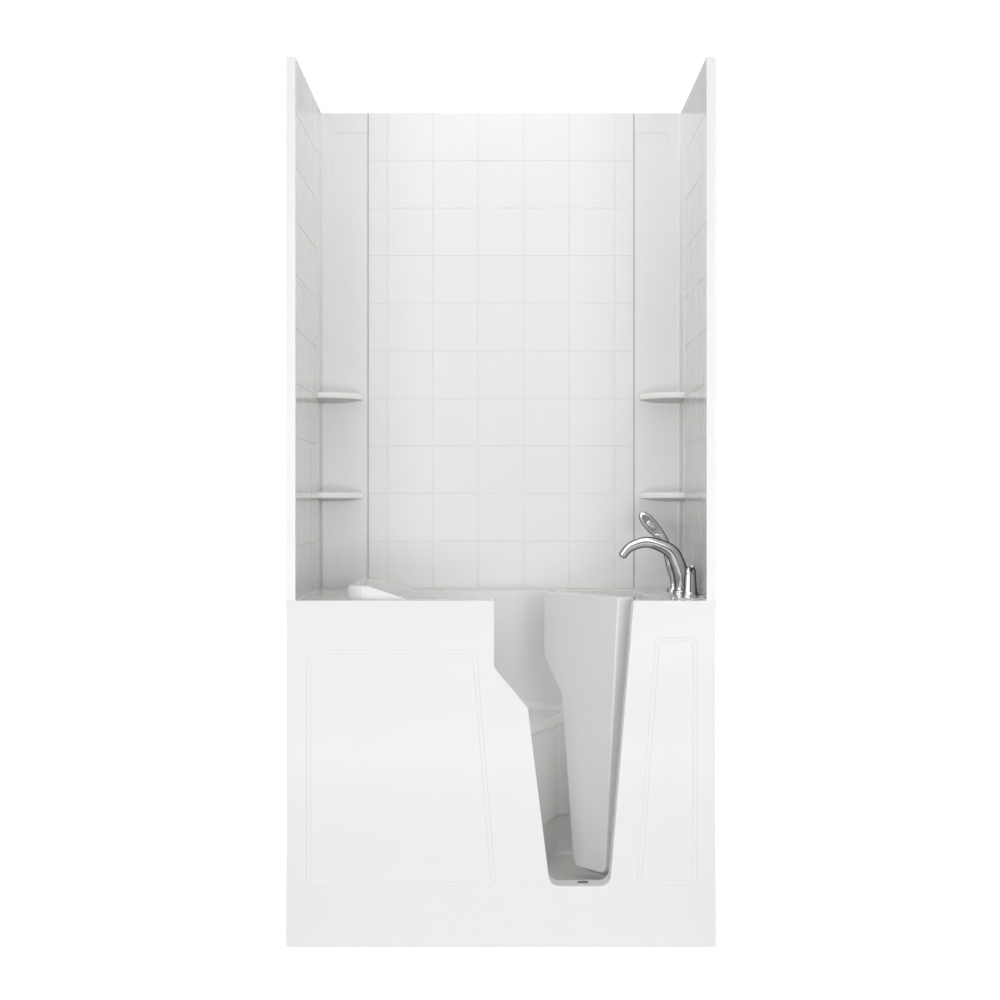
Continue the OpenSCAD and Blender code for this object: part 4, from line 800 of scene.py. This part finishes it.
wand = skin("hand_shower_wand", moved(rings, Matrix.Translation((wand_x, wand_y, 0))), chrome,
            "shower_wand", sharp=35)
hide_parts("hand_shower")

head_x, head_z, head_lean = wand_x - 0.069, wand_top - 0.043, math.radians(42)
face_wide, face_long = 0.0125, 0.0215
face_sides = 56


def on_face(across, along):
    """The (x, z) about the head's middle of a point across and along the leaning spray face."""
    return (across * math.cos(head_lean) - along * math.sin(head_lean),
            across * math.sin(head_lean) + along * math.cos(head_lean))


def face_rings(levels):
    """Rings of the face's long oval at levels (grown by, forwards)."""
    rings = []
    for grow, forward in levels:
        outline = [on_face((face_wide + grow) * math.sin(a), (face_long + grow) * math.cos(a))
                   for a in (2 * math.pi * k / face_sides for k in range(face_sides))]
        rings.append([Vector((head_x + x, wand_y + face_y - forward, head_z + z))
                      for x, z in outline])
    return rings


plate_levels = [(-0.002, -0.0005), (-0.002, 0.0002), (-0.0035, 0.0008), (-0.0055, 0.0014),
                (-0.008, 0.0019), (-0.0105, 0.0022), (-0.0118, 0.0023)]
trim_levels = [(-0.0022, -0.0005), (-0.0022, 0.0016), (-0.0016, 0.0023), (-0.0006, 0.0024),
               (0.0002, 0.0016), (0.0004, 0.0), (0.0004, -0.0006)]
plate = skin("spray_plate", face_rings(plate_levels), chrome, "shower_wand")
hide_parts("hand_shower_face")
skin("spray_trim", face_rings(trim_levels), chrome, "shower_wand")
nozzle_profile = [(0.0009, -0.0003), (0.0008, 0.0008), (0.0005, 0.0011), (0.0002, 0.0009)]
nozzle_y = wand_y + face_y - 0.0018
nozzle_ovals = ((0.0078, 16), (0.0042, 10))
oval_stretch = 1.9
facing_front = Matrix.Rotation(math.radians(90), 4, "X")
nozzles = []
for reach, count in nozzle_ovals:
    for k in range(count):
        a = 2 * math.pi * k / count
        x, z = on_face(reach * math.sin(a), reach * oval_stretch * math.cos(a))
        seat = Matrix.Translation((head_x + x, nozzle_y, head_z + z)) @ facing_front
        nozzles.append(skin("spray_nozzle", moved(lathe(nozzle_profile, sides=10), seat), grey_plastic,
                            "shower_wand"))
joined("spray_nozzles", nozzles)

# Valve, nuts and pipes under the deck: bare brass, the valve cast and the nuts turned. The nuts
# clamp the tub filler's pieces to the ledge, and the pipes feed the valve.
brass = finish("brass", (0.6, 0.42, 0.2), 0.3, metallic=1.0, shade=0.08, scale=300, relief=0.05,
               soften=0.0008)
dress(["mixer_valve", "deck_nuts", "supply_pipes"], brass)
